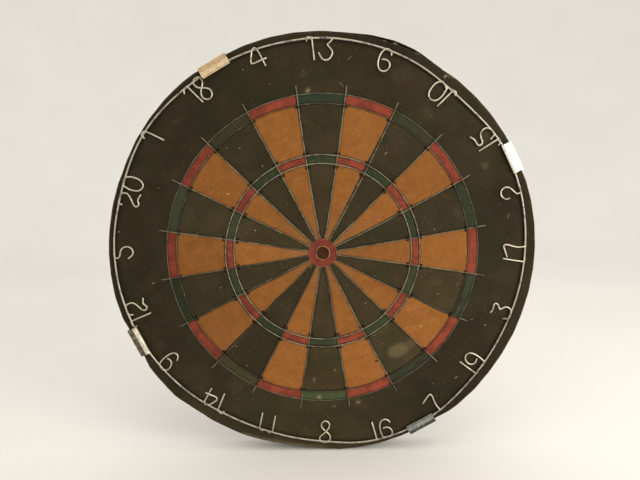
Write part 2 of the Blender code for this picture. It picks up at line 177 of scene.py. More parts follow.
def makePiece(name, solids, material, body="board", stands=(), sharp=50, values=None):
    # values are numbers kept on the points
    piece = makeObject(name, solids, material, sharp)
    for label, numbers in (values or {}).items():
        layer = piece.data.attributes.new(label, "FLOAT", "POINT")
        layer.data.foreach_set("value", np.ascontiguousarray(numbers, dtype=np.float32))
    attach(piece, body)
    if stands:
        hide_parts(*stands)
    return piece


def unit(vectors):
    return vectors / np.linalg.norm(vectors, axis=-1, keepdims=True)


def wireAlong(path, thickness, sides=10, closed=False, level=(0, 1, 0)):
    # A round section carried along a path. The side direction is the path's heading crossed
    # with level, and up is side crossed with the heading. Each point of a section is the
    # path's point plus half the thickness times (cosine * side + sine * up).
    thickness = np.broadcast_to(thickness, len(path))
    if closed:
        ahead = unit(unit(np.roll(path, -1, 0) - path) + unit(path - np.roll(path, 1, 0)))
    else:
        runs = unit(np.diff(path, axis=0))
        ahead = unit(np.vstack([runs[:1], runs[1:] + runs[:-1], runs[-1:]]))
        # a cut end is a little rounded
        rounding = thickness[[0, -1], None] * ahead[[0, -1]] * 0.18
        path = np.vstack([path[:1] - rounding[:1], path, path[-1:] + rounding[1:]])
        ahead = np.vstack([ahead[:1], ahead, ahead[-1:]])
        thickness = np.concatenate([thickness[:1] * 0.66, thickness, thickness[-1:] * 0.66])
    side = unit(np.cross(ahead, level))
    up = np.cross(side, ahead)
    c, s = circle(sides)
    spread = c[None, :, None] * side[:, None] + s[None, :, None] * up[:, None]
    return sleeve(path[:, None] + spread * thickness[:, None, None] / 2, closed)


def bentPath(stops, bendReach=0.0013, steps=7):
    # A wire bent at its stops: straight runs, and round each stop a parabola whose ends lie
    # on the runs. A gentle turn takes half of each run, a sharp one only bendReach.
    runs = np.diff(stops, axis=0)
    lengths = np.linalg.norm(runs, axis=1)
    ways = runs / lengths[:, None]
    gentle = np.einsum("ij,ij->i", ways[:-1], ways[1:]) > 0.55
    before = np.where(gentle, lengths[:-1] * 0.5, np.minimum(bendReach, lengths[:-1] * 0.45))
    after = np.where(gentle, lengths[1:] * 0.5, np.minimum(bendReach, lengths[1:] * 0.45))
    start = stops[1:-1] - ways[:-1] * before[:, None]
    end = stops[1:-1] + ways[1:] * after[:, None]
    t = np.linspace(0, 1, steps)[None, :, None]
    bends = ((1 - t) ** 2 * start[:, None] + 2 * t * (1 - t) * stops[1:-1, None]
             + t ** 2 * end[:, None]).reshape(-1, 3)
    path = np.vstack([stops[:1], bends, stops[-1:]])
    apart = np.linalg.norm(np.diff(path, axis=0), axis=1) > 0.00005
    return path[np.concatenate([[True], apart])]


def lathe(profile, steps, centre, axes):
    # (radius, height) points turned about the third axis at centre; the ends close themselves
    profile = np.asarray(profile)
    first, second, third = np.asarray(axes, float)
    c, s = circle(steps)
    ring = c[:, None] * first + s[:, None] * second
    grid = profile[:, 0, None, None] * ring[None] + profile[:, 1, None, None] * third
    return sleeve(np.asarray(centre) + grid)


# shader nodes

class Value:
    # what comes out of a socket; adding, taking away, multiplying or dividing writes a node

    def __init__(self, pen, socket):
        self.pen, self.socket = pen, socket


def writesMath(operation, turned):
    return lambda self, other: self.pen.sum(operation, *((other, self) if turned else (self, other)))


for sign, operation in (("add", "ADD"), ("sub", "SUBTRACT"), ("mul", "MULTIPLY"), ("truediv", "DIVIDE")):
    setattr(Value, f"__{sign}__", writesMath(operation, False))
    setattr(Value, f"__r{sign}__", writesMath(operation, True))


class Sockets:
    # a node's sockets by name or number: reading gives a value, writing plugs one in

    def __init__(self, pen, sockets):
        self.pen, self.sockets = pen, sockets

    def __getitem__(self, key):
        return Value(self.pen, self.sockets[key])

    def __setitem__(self, key, value):
        self.pen.plug(self.sockets[key], value)


class Pen:
    # writes nodes into one tree; every term may be a number, a colour or another node's value

    def __init__(self, tree):
        self.tree, self.count = tree, 0

    def lay(self, kind, **settings):
        node = self.tree.nodes.new(kind)
        for key, value in settings.items():
            setattr(node, key, value)
        node.location = (self.count // 12 * 190, -(self.count % 12) * 170)
        self.count += 1
        return node

    def add(self, kind, terms=(), **settings):
        # terms go to the node's first sockets, or to those that a dictionary names
        node = self.lay(kind, **settings)
        for key, value in (terms.items() if isinstance(terms, dict) else enumerate(terms)):
            self.plug(node.inputs[key], value)
        return Sockets(self, node.outputs)

    def plug(self, socket, value):
        if isinstance(value, Value):
            self.tree.links.new(value.socket, socket)
        else:
            socket.default_value = paint(value) if isinstance(value, str) else value

    def sum(self, operation, *terms):
        return self.add("ShaderNodeMath", terms, operation=operation)[0]

    def move(self, operation, *terms):
        made = self.add("ShaderNodeVectorMath", terms, operation=operation)
        return made["Value" if operation == "LENGTH" else "Vector"]

    def scaled(self, vector, factor):
        return self.add("ShaderNodeVectorMath", {0: vector, "Scale": factor}, operation="SCALE")[0]

    def fade(self, value, low, high, toLow=0.0, toHigh=1.0):
        return self.add("ShaderNodeMapRange", (value, low, high, toLow, toHigh),
                        interpolation_type="SMOOTHSTEP")[0]

    def mix(self, share, under, over):
        return self.add("ShaderNodeMix", {0: share, 6: under, 7: over}, data_type="RGBA")[2]

    def noise(self, place, size, detail=2.0, roughness=0.5, distortion=0.0, output=0):
        return self.add("ShaderNodeTexNoise", {
            "Vector": place, "Scale": 1 / size, "Detail": detail, "Roughness": roughness,
            "Distortion": distortion})[output]

    def cells(self, place, size, dimensions="2D"):
        return self.add("ShaderNodeTexVoronoi", {"Vector": place, "Scale": 1 / size},
                        voronoi_dimensions=dimensions)

    def split(self, value, kind="XYZ"):
        return self.add("ShaderNodeSeparate" + kind, (value,))

    def flat(self, x, y):
        return self.add("ShaderNodeCombineXYZ", (x, y))[0]

    def kept(self, name):
        return self.add("ShaderNodeAttribute", attribute_name=name)["Fac"]

    def steps(self, value, stops):
        node = self.lay("ShaderNodeValToRGB")
        band = node.color_ramp
        band.interpolation = "CONSTANT"
        while len(band.elements) < len(stops):
            band.elements.new(1.0)
        for element, (position, colour) in zip(band.elements, stops):
            element.position, element.color = position, colour
        self.plug(node.inputs[0], value)
        return Sockets(self, node.outputs)

    def use(self, group, **terms):
        return self.add("ShaderNodeGroup", terms, node_tree=group)

    def bump(self, shader, height, distance):
        shader["Normal"] = self.add("ShaderNodeBump", {"Distance": distance, "Height": height})[0]


def newGroup(name, inputs, outputs):
    # inputs are names with values; the vector one has none
    group = bpy.data.node_groups.new(name, "ShaderNodeTree")
    for label, value in inputs.items():
        kind = "NodeSocketVector" if value is None else "NodeSocketFloat"
        socket = group.interface.new_socket(label, in_out="INPUT", socket_type=kind)
        if value is not None:
            socket.default_value = value
    for label in outputs:
        kind = "NodeSocketColor" if label == "Colour" else "NodeSocketFloat"
        group.interface.new_socket(label, in_out="OUTPUT", socket_type=kind)
    pen = Pen(group)
    return group, pen, pen.add("NodeGroupInput"), Sockets(pen, pen.lay("NodeGroupOutput").inputs)


def newMaterial(name, roughness, metallic, specular=0.5):
    material = bpy.data.materials.new(name)
    material.use_nodes = True
    pen = Pen(material.node_tree)
    shader = Sockets(pen, material.node_tree.nodes["Principled BSDF"].inputs)
    shader["Roughness"], shader["Metallic"], shader["Specular IOR Level"] = roughness, metallic, specular
    return material, pen, pen.add("ShaderNodeTexCoord")["Object"], shader


# the painted face

# the doubles of the dark sectors are green, and have worn very differently: what is left
# of the paint on each, from the top round
greenDoubles = {
    "13": ("313a29", 1.0), "10": ("393b25", 0.95), "2": ("343a26", 1.0), "3": ("2f3f31", 0.70),
    "7": ("2b3827", 0.66), "8": ("40482c", 1.0), "14": ("464428", 0.9), "12": ("2a2e1b", 0.9),
    "20": ("363c28", 1.0), "18": ("444229", 0.8),
}
# the last colour is the dark of grime, thin winding lines and dart holes, and of the painted shade along
# the wires and round the number ring
faceColours = dict(field="3d3321", fieldDark="312a18", fieldPale="4b3e26", orange="8e5c2a",
                   orangeDeep="845224", orangePink="935b36", margin="60533a", red="883e2d",
                   redDark="713324", green="2e3624", greenPale="3a3e27", bull="7a392b",
                   bullCore="402313", rawPaper="80704f", grime="1d170e")


def buildFacePaint():
    # The radius and the clockwise turn of a point on the face decide its field. The point is
    # first pushed about a little, as a brush wanders along its line.
    group, pen, given, result = newGroup("facePaint", dict(Place=None),
                                         ("Colour", "Roughness", "Height"))
    place = given["Place"]
    sway = pen.move("SUBTRACT", pen.noise(place, 0.045, 1.0, output=1), (0.5, 0.5, 0.5))
    shake = pen.move("SUBTRACT", pen.noise(place, 0.006, 2.0, output=1), (0.5, 0.5, 0.5))
    brushed = pen.move("ADD", place, pen.scaled(sway, 0.0028))
    brushed = pen.move("ADD", brushed, pen.scaled(shake, 0.0012))
    parts = pen.split(brushed)
    x, z = parts[0], parts[2]
    flat = pen.flat(x, z)
    radius = pen.move("LENGTH", flat)
    around = pen.sum("ARCTAN2", x, z) / turn
    share = pen.sum("FRACT", around + 0.5 / board["sectors"])
    sector = share * board["sectors"]
    within = pen.sum("FRACT", sector)
    odd = pen.sum("GREATER_THAN", pen.sum("FRACT", sector * 0.5), 0.5)
    edge = pen.sum("MINIMUM", within, 1.0 - within)
    edge = edge * radius * (turn / board["sectors"])

    blotch = pen.noise(place, 0.05, 4.0, 0.55, 0.4)
    patch = pen.noise(place, 0.013, 4.0, 0.6, 0.6)
    grain = pen.noise(place, 0.0016, 3.0, 0.6)
    tint = faceColours

    # dark fields and border
    colour = pen.mix(pen.fade(blotch, 0.32, 0.62), tint["fieldDark"], tint["field"])
    colour = pen.mix(pen.fade(patch, 0.5, 0.75) * 0.45, colour, tint["fieldPale"])
    olive = pen.noise(place, 0.055, 3.0, 0.6)
    colour = pen.mix(pen.fade(olive, 0.46, 0.64) * 0.75, colour, "2d2d18")
    umber = pen.noise(place, 0.032, 3.0, 0.6, output=1)
    colour = pen.mix(pen.fade(umber, 0.5, 0.68) * 0.5, colour, "402f1a")

    # orange fields, with a bare margin along the wires
    orange = pen.mix(pen.fade(patch, 0.35, 0.7), tint["orangeDeep"], tint["orange"])
    pink = pen.noise(place, 0.022, 3.0, 0.6, output=1)
    pink = pen.fade(pink, 0.52, 0.68) * 0.5
    orange = pen.mix(pink, orange, tint["orangePink"])
    dusty = pen.fade(radius, 0.060, 0.016)
    orange = pen.mix(dusty * 0.4, orange, "7d5a3c")
    inOrange = odd * pen.fade(radius, scoring["doubleInner"] + 0.0003, scoring["doubleInner"] - 0.0003)
    colour = pen.mix(inOrange, colour, tint["margin"])
    colour = pen.mix(inOrange * pen.fade(edge, 0.0004, 0.0016), colour, orange)

    # red and green rings
    def ring(inner, outer, soft=0.0003):
        return pen.fade(radius, inner - soft, inner + soft) * pen.fade(radius, outer + soft, outer - soft)

    treble = ring(scoring["trebleInner"], scoring["trebleOuter"])
    double = ring(scoring["doubleInner"], scoring["doubleOuter"])
    red = pen.mix(pen.fade(patch, 0.38, 0.62), tint["redDark"], tint["red"])
    red = pen.mix(pen.fade(grain, 0.55, 0.75) * 0.25, red, "a05a40")
    band = pen.sum("MAXIMUM", treble, double)
    redMask = band * odd * pen.fade(edge, 0.0, 0.0008)
    colour = pen.mix(redMask, colour, red)
    even = 1.0 - odd
    green = pen.mix(pen.fade(patch, 0.35, 0.65), tint["green"], tint["greenPale"])
    colour = pen.mix(treble * even, colour, green)

    stops = []
    for index, name in enumerate(names):
        code, left = greenDoubles.get(name, (tint["green"], 1.0))
        stops.append((index / board["sectors"], (*paint(code)[:3], left)))
    perSector = pen.steps(share, stops)
    # winding lines show where the paint is thin
    winding = pen.sum("SINE", radius * (turn / 0.0019) + blotch * 9.0)
    smear = pen.fade(patch + winding * 0.08, 0.30, 0.50)
    worn = pen.sum("POWER", perSector[1], 3.0)
    smear = pen.sum("MAXIMUM", smear, worn)
    greenMask = double * even * (perSector[1] * smear)
    colour = pen.mix(greenMask, colour, perSector[0])
    lines = greenMask * pen.fade(winding, 0.55, 0.95)
    colour = pen.mix(lines * 0.35, colour, tint["grime"])
    # dark streaks along the ring, where most of the paint has gone
    streak = pen.noise(pen.flat(radius * 9.0, around * 1.1), 0.03, 4.0, 0.7)
    streak = pen.fade(streak, 0.46, 0.56)
    gone = pen.fade(perSector[1], 0.9, 0.65, 0.0, 0.75)
    bare = double * even * (streak * gone)
    colour = pen.mix(bare, colour, "211d11")

    # bull
    inBull = pen.fade(radius, scoring["bullOuter"] + 0.0006, scoring["bullOuter"] - 0.0002)
    bull = pen.mix(pen.fade(patch, 0.3, 0.7), "733227", tint["bull"])
    colour = pen.mix(inBull, colour, bull)
    core = pen.fade(radius, scoring["bullInner"], scoring["bullInner"] - 0.0008)
    colour = pen.mix(core, colour, tint["bullCore"])

    # grime and painted shade darken the face along the pressed scoring wires and beside the radial ones,
    # where the wires shade it
    grooveGrimeAndShade = 0.0
    for key, left in (("trebleInner", 1), ("trebleOuter", 1), ("doubleInner", 1), ("doubleOuter", 0.6)):
        apart = pen.sum("ABSOLUTE", radius - scoring[key])
        grooveGrimeAndShade = pen.sum("MAXIMUM", grooveGrimeAndShade, pen.fade(apart, 0.0018, 0.0007) * (left * 0.55))
    # painted shade, with some grime, along each side of a radial wire
    beside = pen.fade(edge, 0.0015, 0.0006) * pen.fade(radius, 0.178, 0.176)
    beside = beside * pen.fade(radius, 0.0150, 0.0165)
    grooveGrimeAndShade = pen.sum("MAXIMUM", grooveGrimeAndShade, beside * 0.5)
    colour = pen.mix(grooveGrimeAndShade, colour, tint["grime"])

    # each staple's two legs left a dark hole beside the radial wire
    holes = None
    for reach in staple["reaches"]:
        out = radius - reach
        sideways = edge - staple["half"]
        spot = pen.sum("SQRT", out * out + sideways * sideways)
        spot = pen.fade(spot, 0.0021, 0.0010)
        holes = spot if holes is None else pen.sum("MAXIMUM", holes, spot)
    colour = pen.mix(holes * 0.85, colour, "17110a")

    # dart holes, close together where the scoring is, each with its own depth
    pricks = pen.cells(flat, 0.0065)
    chosen = pen.sum("GREATER_THAN", pen.split(pricks["Color"], "Color")[0], 0.86)
    prick = pen.fade(pricks["Distance"], 0.085, 0.045) * chosen
    prick = prick * pen.fade(radius, 0.176, 0.150, 0.25, 1.0)
    colour = pen.mix(prick * 0.55, colour, tint["grime"])

    # scuffs down to the bare paper, and faint dust
    flecks = pen.cells(flat, 0.0125)
    chosen = pen.sum("GREATER_THAN", pen.split(flecks["Color"], "Color")[1], 0.8)
    fleck = pen.fade(flecks["Distance"], 0.062, 0.03) * chosen
    colour = pen.mix(fleck * 0.5, colour, tint["rawPaper"])
    scuff = pen.fade(pen.noise(place, 0.009, 5.0, 0.7, 1.2), 0.66, 0.8) * 0.3
    colour = pen.mix(scuff, colour, tint["rawPaper"])

    result["Colour"] = pen.scaled(colour, pen.fade(grain, 0.25, 0.8, 0.86, 1.13))
    result["Roughness"] = pen.fade(patch, 0.3, 0.75, 0.62, 0.85)
    dented = pen.sum("MAXIMUM", prick, holes)
    result["Height"] = grain * 0.35 + patch * 0.6 + winding * 0.05 - dented * 0.9 + band * 0.1
    return group


staple = dict(reaches=(scoring["trebleOuter"] + 0.0025, scoring["trebleInner"] - 0.0032,
                       scoring["doubleInner"] - 0.0016), half=0.0016, wire=0.0008)
facePaint = buildFacePaint()
print("face paint ready")


def buildPaperLayers():
    # Wound paper: thin strips lie one on another. Lines follow the given layer coordinate,
    # broken up by noise, and torn patches show the pale inside.
    group, pen, given, result = newGroup(
        "paperLayers", dict(Place=None, Layer=0.0, Pitch=0.0016, Torn=0.3),
        ("Lines", "Torn", "Tone", "Bands", "Height"))
    warp = pen.noise(given["Place"], 0.03, 3.0)
    # some turns of the strip are darker than others
    turns = given["Layer"] / given["Pitch"]
    result["Bands"] = pen.noise(pen.flat(turns, warp * 2.0), 2.3, 4.0, 0.75)
    line = pen.sum("SINE", (turns + warp * 3.0) * turn)
    fibre = pen.noise(given["Place"], 0.0012, 4.0, 0.65)
    patch = pen.noise(given["Place"], 0.02, 5.0, 0.62, 0.8)
    limit = 0.85 - given["Torn"] * 0.5
    torn = pen.fade(patch, limit, limit + 0.05)
    result["Lines"] = pen.fade(line, 0.2, 0.95)
    result["Torn"] = torn
    result["Tone"] = pen.fade(fibre, 0.25, 0.8)
    height = line * 0.25 + fibre * 0.5
    result["Height"] = height - torn * 0.8
    return group


paperLayers = buildPaperLayers()


def fromAxis(pen, place):
    parts = pen.split(place)
    return pen.move("LENGTH", pen.flat(parts[0], parts[2]))


def faceMaterial():
    material, pen, place, shader = newMaterial("paintedFace", 0.75, 0.0, 0.12)
    made = pen.use(facePaint, Place=place)
    stain = pen.kept("stain")
    colour = pen.mix(stain, made["Colour"], "87785a")
    # painted shadow and grime along the number ring, and the darker margin outside it
    ringShadeAndMargin = pen.kept("ringShadeAndMargin")
    colour = pen.mix(ringShadeAndMargin, colour, faceColours["grime"])
    bare = pen.kept("bare")
    fray = pen.noise(place, 0.004, 4.0, 0.7, 1.0)
    bare = pen.fade(bare + (fray - 0.5) * 0.9, 0.45, 0.6)
    colour = pen.mix(bare, colour, "4d4532")
    # a brightness for each sector: partly the paint's own tone, partly painted light and shade across the
    # face
    tone = pen.kept("tone")
    shader["Base Color"] = pen.scaled(colour, tone)
    shader["Roughness"] = made["Roughness"]
    pen.bump(shader, made["Height"], 0.00035)
    return material


def paperMaterial(name, colours, pitch, torn, edgeways, lines=0.35):
    # edgeways paper shows its layers as circles on the back; otherwise as lines round the rim,
    # where the paint has rubbed off along both edges
    material, pen, place, shader = newMaterial(name, 0.85, 0.0, 0.2)
    layer = fromAxis(pen, place) if edgeways else pen.split(place)[1]
    made = pen.use(paperLayers, Place=place, Layer=layer, Pitch=pitch, Torn=torn)
    cloud = pen.noise(place, 0.05, 4.0, 0.6, 0.5)
    colour = pen.mix(pen.fade(cloud, 0.3, 0.7), colours[0], colours[1])
    colour = pen.mix(pen.fade(made["Bands"], 0.46, 0.70, 0.0, 0.6), colour, colours[3])
    colour = pen.mix(pen.fade(made["Bands"], 0.50, 0.30, 0.0, 0.35), colour, colours[2])
    colour = pen.mix(made["Lines"] * lines, colour, colours[3])
    colour = pen.mix(made["Tone"] * 0.25, colour, colours[2])
    colour = pen.mix(made["Torn"], colour, colours[2])
    if not edgeways:
        fromMiddle = pen.sum("ABSOLUTE", layer + board["thickness"] / 2)
        scuff = pen.noise(place, 0.007, 5.0, 0.72, 0.6)
        reach = pen.fade(fromMiddle, board["thickness"] / 2 - 0.0045, board["thickness"] / 2 - 0.0002)
        scuff = scuff + reach * 0.17
        colour = pen.mix(pen.fade(scuff, 0.66, 0.74, 0.0, 0.75), colour, colours[2])
    shader["Base Color"] = colour
    pen.bump(shader, made["Height"], 0.0003)
    return material


painted = faceMaterial()
rimPaper = paperMaterial("rimPaper", ("2b2418", "372e20", "5f5039", "1c160e"), 0.0045, 0.30, False, 0.12)
backPaper = paperMaterial("backPaper", ("5c4a33", "6d5a40", "8a7757", "3d3020"), 0.0019, 0.25, True)
barePaper = paperMaterial("barePaper", ("4c4230", "5a4e38", "6d5f45", "3a3123"), 0.0009, 0.2, False)


# the board

# how far the worn rim stands out from a true circle, in millimetres, from the top round
rimWear = [(0, 0.4), (8, 0.1), (12, 1), (20, 1), (25, 1.4), (28, 0.8), (31, -0.4), (36, -0.3), (54, 0),
           (59, 0), (68, 0), (71, 1), (92, 1), (108, 0.8), (128, 1.2), (133, 1.9), (142, 2.1), (146, 0),
           (156, 0), (165, -0.2), (176, -1.5), (184, -3.7), (190, -3.9), (194, -4.1), (198, -2.7),
           (204, -1.4), (212, -0.9), (217, -0.5), (220, 0.3), (224, 2.1), (232, 2.2), (237, 2.4),
           (240, 0), (249.5, 0), (252, 1.4), (258, 1.9), (265, 1.6), (272, 0.6), (282, 0.3), (294, -0.6),
           (299, -0.6), (306, 0.3), (318, 0.8), (325, 0.9), (326.5, 0), (335, 0), (340, 0.5), (348, 0.6)]
# where the outermost strip has come away: angle, lift in millimetres
wrapLift = [(0, 0), (7, 0), (12, 0.7), (17, 1.7), (19, 2), (23, 1.6), (28, 0.3), (31, 0), (225, 0),
            (229, 0.5), (233, 0.3), (237, 0), (264, 0), (268, 0.5), (274, 0.6), (277, 0), (292, 0),
            (297, 0.3), (302, 0.4), (306, 0)]
# how far the strip's front edge is torn back, in millimetres
wrapTorn = [(0, 0.1), (30, 0.2), (34, 1.6), (38, 0.3), (60, 0), (140, 0.1), (176, 0.6), (181, 4),
            (186, 6.5), (193, 5), (199, 7), (206, 2.5), (214, 0.8), (222, 2.4), (226, 0.5), (232, 1.5),
            (238, 0.2), (262, 0.1), (268, 0.9), (276, 0.2), (300, 0.6), (310, 0.1)]
wrap = dict(thickness=0.0007, steps=1260, gap=0.00005, margin=0.0004, dents=0.0001, ripple=0.00012,
            slowFray=0.00022, fineFray=0.00016)
# soft stains: x, z, reach one way and the other in millimetres, turned, strength
stains = [(82, -110.5, 12, 7.8, 20, 0.26), (95, -104, 10, 5, 35, 0.12), (83, 184, 12, 9, 0, 0.07),
          (111.7, 144.5, 5, 9, 20, 0.07), (172.4, 91, 4, 4, 0, 0.2), (-17.1, 186.2, 5, 3.5, 20, 0.1),
          (-13.6, 170, 3.4, 2.4, 30, 0.5), (-150.5, 140.2, 4, 2, 10, 0.12), (145, 41, 4, 4, 0, 0.08),
          (-6, -163.6, 3, 2.6, 0, 0.42), (-11.3, -142.6, 2.2, 5, 10, 0.1), (37.9, -170, 3.2, 2.4, 0, 0.3),
          (11, -174.8, 2.4, 1.6, 0, 0.3), (124, -34, 6, 3, 10, 0.05), (-178.6, -98.6, 2.6, 2.2, 0, 0.12),
          (170, 117, 12, 4, 50, 0.04)]
# how far the margin outside the number ring has darkened, from the top round
marginDarkening = [(0, 0.3), (40, 0.3), (70, 0.12), (110, 0.15), (135, 0.25), (170, 0.05), (215, 0), (250, 0),
            (275, 0.15), (330, 0.15), (345, 0.25)]
# how light each sector's paint is made, from the top round: inside the treble ring,
# outside it, and on the border; partly the paint's own tone, partly painted light and shade where light
# falls unevenly across the face
sectorToneAndLight = [(1.05, 0.9, 0.78), (1, 1, 0.66), (0.9, 0.9, 0.8), (1.05, 0.95, 0.88), (0.9, 0.85, 0.62),
              (0.95, 1.05, 0.78), (1.05, 1.2, 0.76), (1, 1.1, 0.66), (1.05, 1.25, 0.62), (1, 1.15, 0.98),
              (1.1, 1.2, 1.16), (1.05, 1.1, 1.06), (0.9, 0.9, 0.88), (0.95, 0.9, 0.7), (1, 0.9, 0.62),
              (1.1, 0.85, 0.64), (1.2, 1.05, 0.74), (0.95, 0.9, 0.62), (0.9, 0.8, 0.66), (0.95, 1, 0.72)]


def sectorToneAndLightAt(radius, angle):
    # the sector's two values, and past the double ring the border's, blended round the board
    inner, outer, border = np.array(sectorToneAndLight).T
    index = np.round(angle / sectorWidth).astype(int) % board["sectors"]
    outside = smoothStep(radius, scoring["trebleInner"], scoring["trebleOuter"])
    onBorder = smoothStep(radius, scoring["doubleOuter"] - 0.001, scoring["doubleOuter"] + 0.002)
    tone = inner[index] * (1 - outside) + outer[index] * outside
    around = aroundTable(angle, np.stack([evenAngles(board["sectors"]), border], axis=1))
    return tone * (1 - onBorder) + around * onBorder


def wornReach(angle, table):
    return aroundTable(angle, table) / 1000


def faceHeight(radius, angle):
    # Slow unevenness; four grooves, each a bell curve of the distance from its ring; a
    # shallow seat under each radial wire; and a dished bull. It dies away under the number
    # ring, which has to turn.
    bend = np.radians(angle)
    x, z = radius * np.sin(bend), radius * np.cos(bend)
    inner = smoothStep(radius, 0.196, 0.180)
    height = board["unevenness"] * slowWaves(x, z, 0.06, 3) * (0.25 + 0.75 * inner)
    height = height + board["coarseness"] * slowWaves(x, z, 0.011, 4) * inner
    for key, depth in grooveDepths.items():
        height = height - depth * np.exp(-((radius - scoring[key]) / board["grooveWidth"]) ** 2)
    aside = np.abs(angle % sectorWidth - sectorWidth / 2)
    across = np.radians(aside) * radius
    seat = smoothStep(radius, 0.016, 0.019) * smoothStep(radius, 0.178, 0.176)
    height = height - board["seatDepth"] * seat * np.exp(-(across / board["seatWidth"]) ** 2)
    return height - board["bullDip"] * smoothStep(radius, 0.0082, 0.0060)


def buildBoard():
    steps = board["steps"]
    angle = evenAngles(steps)
    plain = np.linspace(0.003, 0.2262, 88)
    grooves = np.array([scoring[key] for key in grooveDepths])
    plain = plain[np.abs(plain[:, None] - grooves).min(axis=1) > 0.0021]
    fine = (grooves[:, None] + np.array([-1.6, -0.9, -0.4, 0, 0.4, 0.9, 1.6]) / 1000).ravel()
    stations = np.sort(np.concatenate([plain, fine, [0.0056, 0.0066, 0.0076, 0.0086]]))
    limit = board["radius"] - wrap["thickness"] - 0.0002
    rim = limit + wornReach(angle, rimWear) + 0.00012 * slowWaves(angle, 0, 7, 8)
    # the outer rows follow the worn rim
    start = board["wornFrom"]
    outer = np.clip((stations - start) / (limit - start), 0, None)[:, None]
    radius = np.where(stations[:, None] > start, start + outer * (rim - start), stations[:, None])
    front = polarPlace(radius, angle, faceHeight(radius, angle))
    # the edge rounds over, runs back along the rim, and rounds again on the back
    lip = np.radians(np.array([8, 30, 55, 80]))[:, None]
    small = board["edgeRound"]
    ragged = board["ragged"] * slowWaves(angle, 0, 2.6, 9)
    edge = polarPlace(rim - small + small * np.sin(lip), angle, -small + small * np.cos(lip))
    depth = np.linspace(0.0022, board["thickness"] - 0.0014, 9)[:, None]
    side = polarPlace(rim + ragged * np.sin(depth * 900), angle, -depth)
    rear = polarPlace(rim - small + small * np.sin(lip[::-1]), angle,
                      face + small - small * np.cos(lip[::-1]))
    inward = np.linspace(1, 0.03, 13)[:, None]
    back = polarPlace((rim - 0.0016) * inward, angle, face * np.ones_like(inward))
    grid = np.concatenate([front, edge, side, rear, back])
    points, quads, triangles = sleeve(grid)
    radii, angles = asPolar(points[:, 0], points[:, 2])
    angles = angles % 360
    stain = np.zeros(len(points))
    for x, z, long, wide, tilt, strength in stains:
        lean = math.radians(tilt)
        right, up = points[:, 0] * 1000 - x, points[:, 2] * 1000 - z
        along = right * math.cos(lean) + up * math.sin(lean)
        across = up * math.cos(lean) - right * math.sin(lean)
        spot = (along / long) ** 2 + (across / wide) ** 2
        stain = np.maximum(stain, strength * smoothStep(spot, 1.5, 0.3))
    # painted shadow, with some grime, in a line on both sides of the ring, and a darker margin outside
    # it; below, the rim has lost its paint
    apart = np.abs(radii - ringRadius(angles) + 0.0004)
    ringShadeAndMargin = 0.72 * smoothStep(apart, 0.0043, 0.0016)
    margin = aroundTable(angles, marginDarkening)
    ringShadeAndMargin = np.maximum(ringShadeAndMargin, margin * smoothStep(radii, ringRadius(angles), ringRadius(angles) + 0.002))
    gone = smoothStep(aroundTable(angles, wrapTorn), 1.0, 5.0)
    bare = gone * smoothStep(radii, rimFor(angles) - 0.0065, rimFor(angles) - 0.0015)
    made = [0] * ((len(front) + 1) * steps) + [1] * ((len(edge) + len(side)) * steps)
    made += [2] * (len(quads) - len(made))
    made += [0] * steps + [2] * steps
    piece = makePiece("boardBody", [(points, quads, triangles)], painted,
                      stands=["board_core"],
                      values=dict(stain=stain, ringShadeAndMargin=ringShadeAndMargin, bare=bare, tone=sectorToneAndLightAt(radii, angles)))
    piece.data.materials.append(rimPaper)
    piece.data.materials.append(backPaper)
    piece.data.polygons.foreach_set("material_index", np.array(made, np.int32))
    return piece


def rimFor(angle):
    return board["radius"] - wrap["thickness"] + wornReach(angle, rimWear)


def buildWrap():
    # The outermost strip of paper: a closed section carried round the rim. Its front edge is
    # torn back and it stands off where it has come away.
    angle = evenAngles(wrap["steps"])
    lift = wornReach(angle, wrapLift)
    torn = wornReach(angle, wrapTorn)
    fray = (wrap["slowFray"] * slowWaves(angle, 0, 1.5, 21)
            + wrap["fineFray"] * slowWaves(angle, 0, 0.6, 22))
    front = wrap["margin"] + torn + np.abs(fray) * (1 + torn * 900)
    share = np.array([0, 0.015, 0.05, 0.14, 0.3, 0.5, 0.7, 0.88, 1.0])
    depth = front[:, None] + (board["thickness"] - wrap["margin"] - front[:, None]) * share
    opening = lift[:, None] * (1 - 0.55 * share)
    dents = wrap["dents"] * slowWaves(angle[:, None], depth * 1500, 9, 23)
    inner = rimFor(angle)[:, None] + wrap["gap"] + opening + dents
    outerEdge = wrap["thickness"] * np.where(share < 0.01, 0.55, 1.0)
    outer = inner + outerEdge + wrap["ripple"] * np.sin(depth * 700 + angle[:, None])
    outside = polarPlace(outer, angle[:, None], -depth)
    inside = polarPlace(inner, angle[:, None], -depth)[:, ::-2]
    makePiece("rimWrap", [sleeve(np.concatenate([outside, inside], axis=1), True)],
              rimPaper)


# the number ring's line; a bend is an angle and how far out it goes, in millimetres

numberRing = dict(
    radius=0.2190, wire=0.0020, height=0.0013, flat=0.0004,
    bends=[(0, 2.5), (24, 0.5), (42, -3.5), (62, 1.5), (90, -1), (114, -2.5), (132, -0.5), (148, 3.5),
           (166, 3), (180, -3.5), (195, -7), (210, -7), (228, -2), (246, 2), (270, 4), (288, 3),
           (306, 5.5), (324, 3), (348, 2)])


